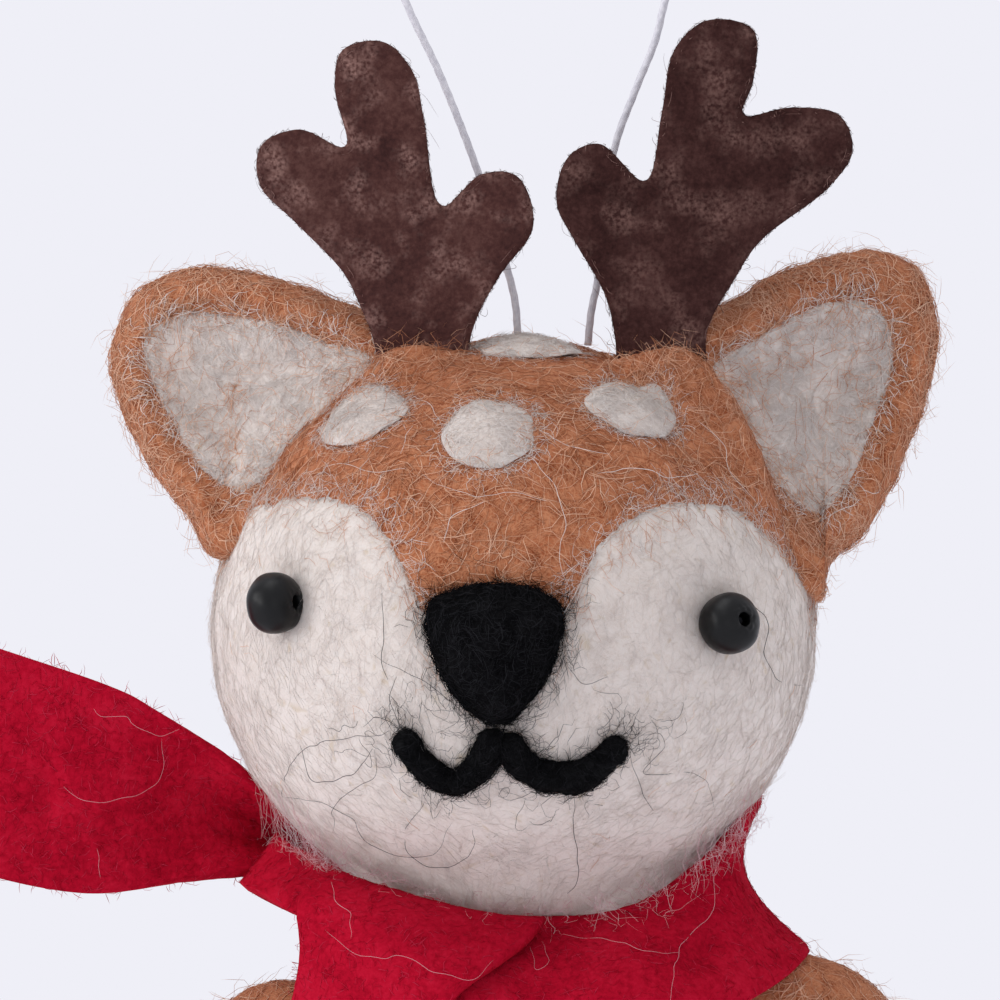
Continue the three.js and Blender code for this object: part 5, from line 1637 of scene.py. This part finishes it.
def normal_of(middle_of, u, v, step=1e-3):
    """A sheet's normal: the cross product of the ways to its neighbours in u and in v."""
    low, high = np.clip(v - step, 0, 1), np.clip(v + step, 0, 1)
    across = middle_of(u + step, v) - middle_of(u - step, v)
    return unit(np.cross(across, middle_of(u, high) - middle_of(u, low)))


def sheet_face(middle_of, side):
    """One face of a felt sheet as a surface for its fibres: side is 1 for the outer and -1 for the inner."""
    return lambda u, v: middle_of(u, v) + normal_of(middle_of, u, v) * (side * FELT_SHEET / 2)


def wrap_middle(u, v):
    """The wrap's middle face with its folds."""
    return wrap_point(u, v, wrap_folds(u, v))


wrap_grid = wrap_middle(*np.meshgrid(np.arange(260) / 260, np.linspace(0, 1, 44)))
scarf_wrap = mesh_piece("scarf_round_neck", *sheet_skin(wrap_grid, FELT_SHEET, True, seed=141), red_felt)
belongs(scarf_wrap, "toy", ["scarf_wrap"])
wrap_area = sheet_area(wrap_grid, True)
WRAP_FLAT = (SCARF_STRIP, wrap_area / SCARF_STRIP)
print("wrap", round(wrap_area * 1e6), "square mm")


def felt_fuzz(name, middle_of, counts, seed):
    """Short fibres on the outer and the inner face of a felt sheet, and a few that stand off it."""
    pieces = []
    for side, face, count in zip((1, -1), ("outer", "inner"), counts):
        made = fibres(f"{name}_{face}", sheet_face(middle_of, side), red_fibre, [
            lie(count, 1.2, 0.045 * MM, curl=700, flat=0.03, arch=0.12, steps=3, outward=float(side)),
            stand(count // 6, 0.9, 0.45, curl=900, tone=(0.4, 1), outward=float(side), steps=3),
        ], seed + side)
        pieces.append(made)
    return pieces


for piece in felt_fuzz("wrap_fuzz", wrap_middle, (3600, 1500), 143):
    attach(piece, "toy")

# %% Front tail
FRONT_TAIL_LENGTH = 30 * MM
FRONT_RIGHT_TURNS = [0.228, 0.29, 0.295, 0.29, 0.285]
FRONT_LEFT_TURNS = [0.415, 0.398, 0.408, 0.405, 0.4]
FRONT_START = 0.1
LAYER_STEP = 1.25 * (FELT_SHEET + 0.3 * MM)


def off_wrap(turn, down):
    """The way off the wrap: the mitre of its outer normal and of the way out from its axis."""
    normal = normal_of(wrap_point, turn, down)
    radial = np.stack([np.cos(turn * TURN), -np.sin(turn * TURN), 0 * turn], -1)
    return (normal + radial) / (1 + (normal * radial).sum(-1, keepdims=True))


def front_tail_middle(u, v):
    """The front tail's middle face: u from its right edge to its left, v from its top to its end. It lies
    on the wrap and its folds as far as the wrap goes, and then hangs straight down."""
    turn_right, turn_left = smooth_value(FRONT_RIGHT_TURNS, v), smooth_value(FRONT_LEFT_TURNS, v)
    turn = turn_right + (turn_left - turn_right) * np.clip(u, -0.01, 1.01)
    top, low = (wrap_point(turn, place + 0 * turn) for place in (FRONT_START, 1))
    over_wrap = np.linalg.norm(top - low, axis=-1)
    travelled = v * FRONT_TAIL_LENGTH
    down = FRONT_START + (1 - FRONT_START) * np.clip(travelled / over_wrap, 0, 1)
    hang = wrap_middle(turn, down) + off_wrap(turn, down) * LAYER_STEP
    ripple = 0.35 * MM * np.sin(TURN * (0.9 * u + 0.3)) * v
    fall = np.maximum(travelled - over_wrap, 0)
    return hang + np.stack([0 * fall, ripple, -fall], -1)


front_grid = front_tail_middle(*np.meshgrid(np.linspace(0, 1, 44), np.linspace(0, 1, 80)))
front_tail = mesh_piece("scarf_front_end", *sheet_skin(front_grid, FELT_SHEET, seed=151), red_felt)


def bend_front(piece):
    """Bakes the piece's transform into its points."""
    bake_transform(piece)


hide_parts("scarf_front_tail")
bend_front(front_tail)
front_area = sheet_area(front_grid)
FRONT_FLAT = (front_area / FRONT_TAIL_LENGTH, FRONT_TAIL_LENGTH)
for piece in felt_fuzz("front_end_fuzz", front_tail_middle, (1500, 600), 153):
    bend_front(piece)

# %% [markdown]
# The side tail opens like a fan out of the pinch. Its middle line runs out to the left and up a little,
# and across it the strip opens from a fifth of its width to the whole, so near the pinch the spare width
# curls over and stands in small creases.

# %% Side tail
SIDE_TAIL_LENGTH = 37.2 * MM
SIDE_ROUTE_SHARES = np.array([
    (0, 0, 0), (-0.19, -0.03, 0.06), (-0.379, -0.06, 0.105), (-0.642, -0.08, 0.18), (-1, -0.14, 0.304),
])
SIDE_OPEN_SHARES = [0.2, 0.28, 0.67, 0.98, 1.06, 1.03]
SIDE_CURL_SHARE = 0.32
SIDE_TUCK = np.array([1.4, 1.2, -0.5]) * MM
side_tail_root = HEAD_MIDDLE + np.array([-0.768, 0.07, -0.748]) * HEAD_HALF
side_route = side_tail_root + np.vstack([SIDE_TUCK, SIDE_ROUTE_SHARES * SIDE_TAIL_LENGTH])


def side_tail_middle(u, v):
    """The side tail's middle face: u across the strip from its lower edge, v out from the pinch, whose
    first millimetres are tucked behind the wrap."""
    centre = smooth_line(side_route, v)
    behind, ahead = (smooth_line(side_route, np.clip(v + step, 0, 1)) for step in (-1e-3, 1e-3))
    tangent = unit(ahead - behind)
    up = unit(np.array([0, 0, 1.0]) - tangent * tangent[..., 2:])
    opened = smooth_value(SIDE_OPEN_SHARES, v)
    across = (u - 0.5) * SCARF_STRIP * opened
    curl = SIDE_CURL_SHARE * SCARF_STRIP * np.maximum(1 - opened, 0) * np.cos(math.pi * (u - 0.5))
    gather = np.exp(-(((v - 0.16) / 0.24) ** 2))
    crease = 0.5 * MM * gather * np.sin(TURN * (2.2 * u + 0.3)) * np.clip(v / 0.1, 0, 1)
    valley = 1.3 * MM * np.exp(-(((u - 0.62 - 0.1 * v) / 0.1) ** 2) - ((v - 0.28) / 0.14) ** 2)
    pleat = 0.5 * MM * np.exp(-(((v - 0.66 - 0.08 * u) / 0.022) ** 2) - ((u - 0.42) / 0.14) ** 2)
    roll = 0.4 * MM * np.sin(TURN * (0.8 * v + 0.5 * u)) * ease(v * 2)
    back = curl + crease + valley + pleat + roll
    return centre + up * across[..., None] + np.stack([0 * v, back, 0 * v], -1)


side_grid = side_tail_middle(*np.meshgrid(np.linspace(0, 1, 56), np.linspace(0, 1, 120)))
side_tail = mesh_piece("scarf_side_end", *sheet_skin(side_grid, FELT_SHEET, seed=161), red_felt)


def bend_side(piece):
    """Bakes the piece's transform into its points."""
    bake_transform(piece)


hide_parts("scarf_side_tail")
bend_side(side_tail)
side_area = sheet_area(side_grid)
SIDE_FLAT = (SCARF_STRIP, side_area / SCARF_STRIP)
for name, size in (("wrap", WRAP_FLAT), ("front end", FRONT_FLAT), ("side end", SIDE_FLAT)):
    print("flat size of the", name, [round(s / MM, 1) for s in size], "mm")
for piece in felt_fuzz("side_end_fuzz", side_tail_middle, (2600, 1500), 163):
    bend_side(piece)

# %% [markdown]
# The last fibres are the ones the needle never caught. Pale loops hang from the chin over the red edge,
# a few long hairs lie across the forehead and the scarf, and black ones stray from the mouth.


# %% Stray fibres
def chin_rim(points):
    """A weight for the band of the chin just inside its outline as the viewer sees it."""
    x, y, z = np.moveaxis((points - HEAD_MIDDLE) / HEAD_HALF, -1, 0)
    seen = np.hypot(x, z)
    return np.exp(-(((seen - 0.95) / 0.035) ** 2)) * (y < 0) * (z < -0.5)


def fringe(name, count, reach, seed):
    """Hairs from the chin's edge down over the scarf: each is a bow from the chin to a place a little off
    the wrap straight under it, with two slow waves that grow away from its root."""
    rng = np.random.default_rng(seed)
    u, v = scatter(white_patch, count, rng, chin_rim)
    start, _, _, normal = surface_frame(white_patch, u, v)
    aside, ahead = start[:, 0] - WRAP_ASIDE, HEAD_MIDDLE[1] - start[:, 1]
    turn = np.arctan2(ahead, aside) / TURN + rng.normal(0, 0.012, count)
    down = reach * rng.uniform(0, 1, count) ** 2
    layered = ease((turn - 0.27) / 0.015) * ease((0.425 - turn) / 0.015)
    off = FELT_SHEET / 2 + (0.3 + 0.7 * rng.uniform(0, 1, count)) * MM + layered * LAYER_STEP
    end = wrap_middle(turn, down) + off_wrap(turn, down) * off[:, None]
    middle = (start + end) / 2 + normal * 0.7 * MM + rng.normal(0, 0.8, (count, 3)) * MM
    t = np.linspace(0, 1, 11)[None, :, None]
    line = (1 - t) ** 2 * start[:, None] + 2 * t * (1 - t) * middle[:, None] + t**2 * end[:, None]
    for rate in (1.2, 2.4):
        way = unit(rng.normal(size=(count, 1, 3)))
        line = line + way * t * 0.6 * MM * np.sin(TURN * (rate * t + rng.uniform(0, 1, (count, 1, 1))))
    normals = np.repeat(normal[:, None], 11, 1)
    made = fibre_mesh(line, normals, HAIR * rng.uniform(0.5, 1.0, count), rng.uniform(0.2, 1, count))
    return mesh_of_sets(name, [made], pink_fibre)


belongs(fringe("chin_fringe", 380, 0.2, 171), "toy")
grow("chin_curls", white_patch, "white_wool", 173, [
    stand(700, 2.0, 1.0, CURL_HAIR, curl=1400, steps=6, weight=chin_rim),
])
under_mouth = near(on_face(*MOUTH_MIDDLE, 0) - [0, 0, 2.4 * MM], 4 * MM)
mouth_ends = [near(on_face(*place, 0), 1.6 * MM) for place in ((-0.43, -0.37), (0.42, -0.37), (-0.05, -0.36))]
grow("stray_black_fibres", white_patch, "black_wool", 172, [
    lie(46, 4.0, HAIR, curl=800, flat=0.15, arch=0.6, steps=14, tone=(0.4, 1), weight=under_mouth),
    *(
        lie(12, 3.4, HAIR, curl=1100, flat=0.15, arch=0.8, steps=14, tone=(0.2, 1), weight=end)
        for end in mouth_ends
    ),
])

# %% [markdown]
# Some hairs are long enough to be told apart one by one. Each is laid along a few places, given as pixels
# of the photograph's frame. The place on the wool or felt that the camera sees at that pixel carries it, so
# it lies on its surface from every side, and a fine tremble keeps it from being a drawn line.

# %% Long single hairs
HAIR_STATIONS = 44
GREY_HAIRS = [
    [(380, 732), (350, 735), (302, 750), (285, 775), (277, 805)],
    [(375, 757), (374, 775), (345, 795), (328, 812), (333, 832)],
    [(420, 800), (402, 848), (428, 868), (465, 857), (473, 828)],
    [(282, 800), (310, 803), (350, 820), (362, 840), (395, 857), (430, 855), (450, 822)],
    [(578, 790), (574, 838), (579, 878), (572, 892)],
    [(630, 752), (645, 795), (655, 812)],
    [(630, 734), (660, 735), (665, 748), (645, 770), (700, 778), (717, 812)],
    [(369, 652), (425, 682), (475, 724)],
    [(395, 675), (390, 705), (402, 730)],
    [(380, 590), (383, 622), (377, 660), (386, 682)],
    [(570, 672), (586, 680), (611, 675)],
    [(640, 708), (635, 728), (618, 740)],
    [(728, 592), (750, 597), (770, 627), (766, 650), (781, 680), (808, 686)],
    [(360, 728), (372, 716), (392, 726), (400, 742)],
    [(300, 745), (310, 780), (352, 772), (372, 748)],
]
PALE_HAIRS = [
    [(520, 445), (545, 465), (560, 490), (566, 520), (560, 555), (575, 592)],
    [(407, 391), (428, 402), (441, 422)],
    [(540, 428), (580, 445), (612, 452)],
    [(398, 450), (405, 432), (412, 420)],
    [(560, 640), (572, 600), (590, 560), (604, 520)],
    [(300, 470), (340, 462), (372, 470), (410, 462)],
    [(600, 470), (640, 462), (662, 474), (700, 470)],
    [(420, 470), (470, 492), (520, 488), (552, 500)],
    [(440, 540), (452, 512), (480, 500)],
    [(700, 420), (725, 440), (733, 470), (760, 500)],
]
PINK_HAIRS = [
    [(741, 842), (719, 862), (710, 902), (686, 930), (672, 962), (668, 998)],
    [(322, 920), (342, 940), (380, 948), (398, 940), (430, 958), (475, 966), (502, 952)],
    [(330, 868), (340, 890), (352, 902), (348, 930)],
    [(668, 918), (664, 905), (678, 898), (700, 886)],
    [(531, 935), (535, 958), (548, 948), (540, 930)],
    [(560, 925), (600, 928), (640, 938), (680, 944)],
]
SIDE_HAIRS = [
    [(100, 704), (104, 712), (132, 714), (138, 720), (165, 740), (186, 727)],
    [(60, 790), (80, 793), (100, 800), (140, 798), (165, 782), (164, 742)],
    [(102, 850), (104, 868), (101, 884)],
]


def seen_on(skin, seen):
    """Places on a skin of points that the camera sees at pixels: of the points within half a millimetre in
    front view the one nearest the camera, or else the nearest one."""
    seen = np.array(seen, float)
    x = HEAD_MIDDLE[0] + (seen[:, 0] - HEAD_PIXEL_X) * PIXEL
    z = HEAD_MIDDLE[2] - (seen[:, 1] - HEAD_PIXEL_Y) * PIXEL
    gap = np.hypot(skin[None, :, 0] - x[:, None], skin[None, :, 2] - z[:, None])
    return skin[np.where(gap < 0.5 * MM, skin[None, :, 1] - 1, gap).argmin(1)]


def long_hairs(name, skin, routes, material, width, seed, tone):
    """One hair for each route: a smooth line through its places, 0.25 to 0.85 mm off the skin."""
    rng = np.random.default_rng(seed)
    t = np.linspace(0, 1, HAIR_STATIONS)
    lines = []
    for number, route in enumerate(routes):
        line = smooth_line(seen_on(skin, route), t)
        tremble = [lumps(line, 2.2 * MM, seed + 3 * number + axis) for axis in range(3)]
        lift = (0.25 + 0.3 * rng.uniform() * (1 + np.sin(9 * t + 6 * rng.uniform()))) * MM
        line = line + 0.13 * MM * np.stack(tremble, -1) - np.stack([0 * t, lift, 0 * t], -1)
        lines.append(line)
    lines = np.array(lines)
    normals = np.broadcast_to(TOWARDS_VIEWER, lines.shape)
    widths, tones = width * rng.uniform(0.8, 1.2, len(lines)), rng.uniform(*tone, len(lines))
    return mesh_of_sets(name, [fibre_mesh(lines, normals, widths, tones)], material)


def points_of(*surfaces, rows=160, columns=420):
    """A dense cloud of points on surfaces."""
    v, u = np.meshgrid(np.linspace(0.01, 0.99, rows), np.arange(columns) / columns, indexing="ij")
    return np.vstack([surface(u, v).reshape(-1, 3) for surface in surfaces])


face_points = points_of(white_patch)
crown_points = np.vstack([points_of(tan_ball), face_points])
wrap_points = points_of(*(sheet_face(middle_of, 1) for middle_of in (wrap_middle, front_tail_middle)))
side_points = points_of(*(sheet_face(side_tail_middle, side) for side in (1, -1)))
grey_hairs = long_hairs("long_grey_hairs", face_points, GREY_HAIRS, black_fibre, 0.05 * MM, 181, (0.8, 1.0))
pale_hairs = long_hairs("long_pale_hairs", crown_points, PALE_HAIRS, white_fibre, 0.045 * MM, 182, (0.6, 1.0))
pink_hairs = long_hairs("long_pink_hairs", wrap_points, PINK_HAIRS, pink_fibre, 0.028 * MM, 183, (0.0, 0.5))
side_hairs = long_hairs("side_end_hairs", side_points, SIDE_HAIRS, pink_fibre, 0.035 * MM, 184, (0.0, 0.4))
belongs(grey_hairs, "toy")
belongs(pale_hairs, "toy")
belongs(pink_hairs, "toy")
bend_side(side_hairs)

# %% [markdown]
# The stage is plain: a pale floor under the hanging toy, a pale surround, and large soft lamps. The lamps
# stand so that the left of the face is a little brighter. The surround is seen by the camera, and in
# glossy reflections, at its own colour.

# %% Floor, surround and lamps
FLOOR_RADIUS = 1.5
FLOOR_SIDES = 96
FLOOR_GLOW = 0.25
BOARD_GRAIN = 30 * MM
WORLD_STRENGTH = 0.65
floor_height = float(cad_low[2]) - STAGE_GAP
around = np.arange(FLOOR_SIDES) / FLOOR_SIDES * TURN
rim_points = np.stack([np.cos(around), np.sin(around), 0 * around], 1) * FLOOR_RADIUS + [0, 0, floor_height]
floor_mesh = bpy.data.meshes.new("floor")
floor_mesh.from_pydata(rim_points.tolist(), [], [list(range(FLOOR_SIDES))])
floor = bpy.data.objects.new("floor", floor_mesh)
bpy.context.scene.collection.objects.link(floor)
floor_paint, tree = new_material("pale_studio_board")
place = add(tree, "TexCoord").outputs["Object"]
grain = add(tree, "TexNoise", {"Vector": place, "Scale": 1 / BOARD_GRAIN, "Detail": 2.0})
low_tone, high_tone = linear(0xECECF4), linear(0xF0F0F8)
board = add(tree, "Mix", {"Factor": grain, 6: low_tone, 7: high_tone}, data_type="RGBA").outputs[2]
board_shader = finish_material(tree, board, 0.9)
board_shader.inputs["Emission Color"].default_value = linear(0xFFFFFF)
board_shader.inputs["Emission Strength"].default_value = FLOOR_GLOW
floor_mesh.materials.append(floor_paint)

world = bpy.data.worlds.new("surround")
bpy.context.scene.world = world
world.use_nodes = True
tree = world.node_tree
tree.nodes.clear()
rays = add(tree, "LightPath").outputs
seen = add(tree, "Math", {0: rays["Is Camera Ray"], 1: rays["Is Glossy Ray"]}, operation="MAXIMUM")
seen = add(tree, "Math", {0: seen, 1: rays["Is Transmission Ray"]}, operation="MAXIMUM")
shown = add(tree, "Background", {"Color": linear(0xEFEFF7), "Strength": 1.0})
light = add(tree, "Background", {"Color": linear(0xF2F2F8), "Strength": WORLD_STRENGTH})
mixed = add(tree, "MixShader", {0: seen, 1: light, 2: shown})
add(tree, "OutputWorld", {"Surface": mixed})


def softbox(name, place, size, watts):
    """A square lamp that faces the middle of the head."""
    lamp = bpy.data.lights.new(name, "AREA")
    lamp.shape = "SQUARE"
    lamp.size = size
    lamp.energy = watts
    made = bpy.data.objects.new(name, lamp)
    made.location = place
    made.rotation_mode = "QUATERNION"
    made.rotation_quaternion = Vector(np.array(place) - HEAD_MIDDLE).to_track_quat("Z", "Y")
    bpy.context.scene.collection.objects.link(made)


softbox("key_softbox", (-0.85, -0.35, 0.1), 0.5, 2.8)
softbox("fill_softbox", (0.25, -0.9, -0.02), 0.3, 0.2)
softbox("top_softbox", (-0.1, -0.2, 0.66), 0.5, 1.5)
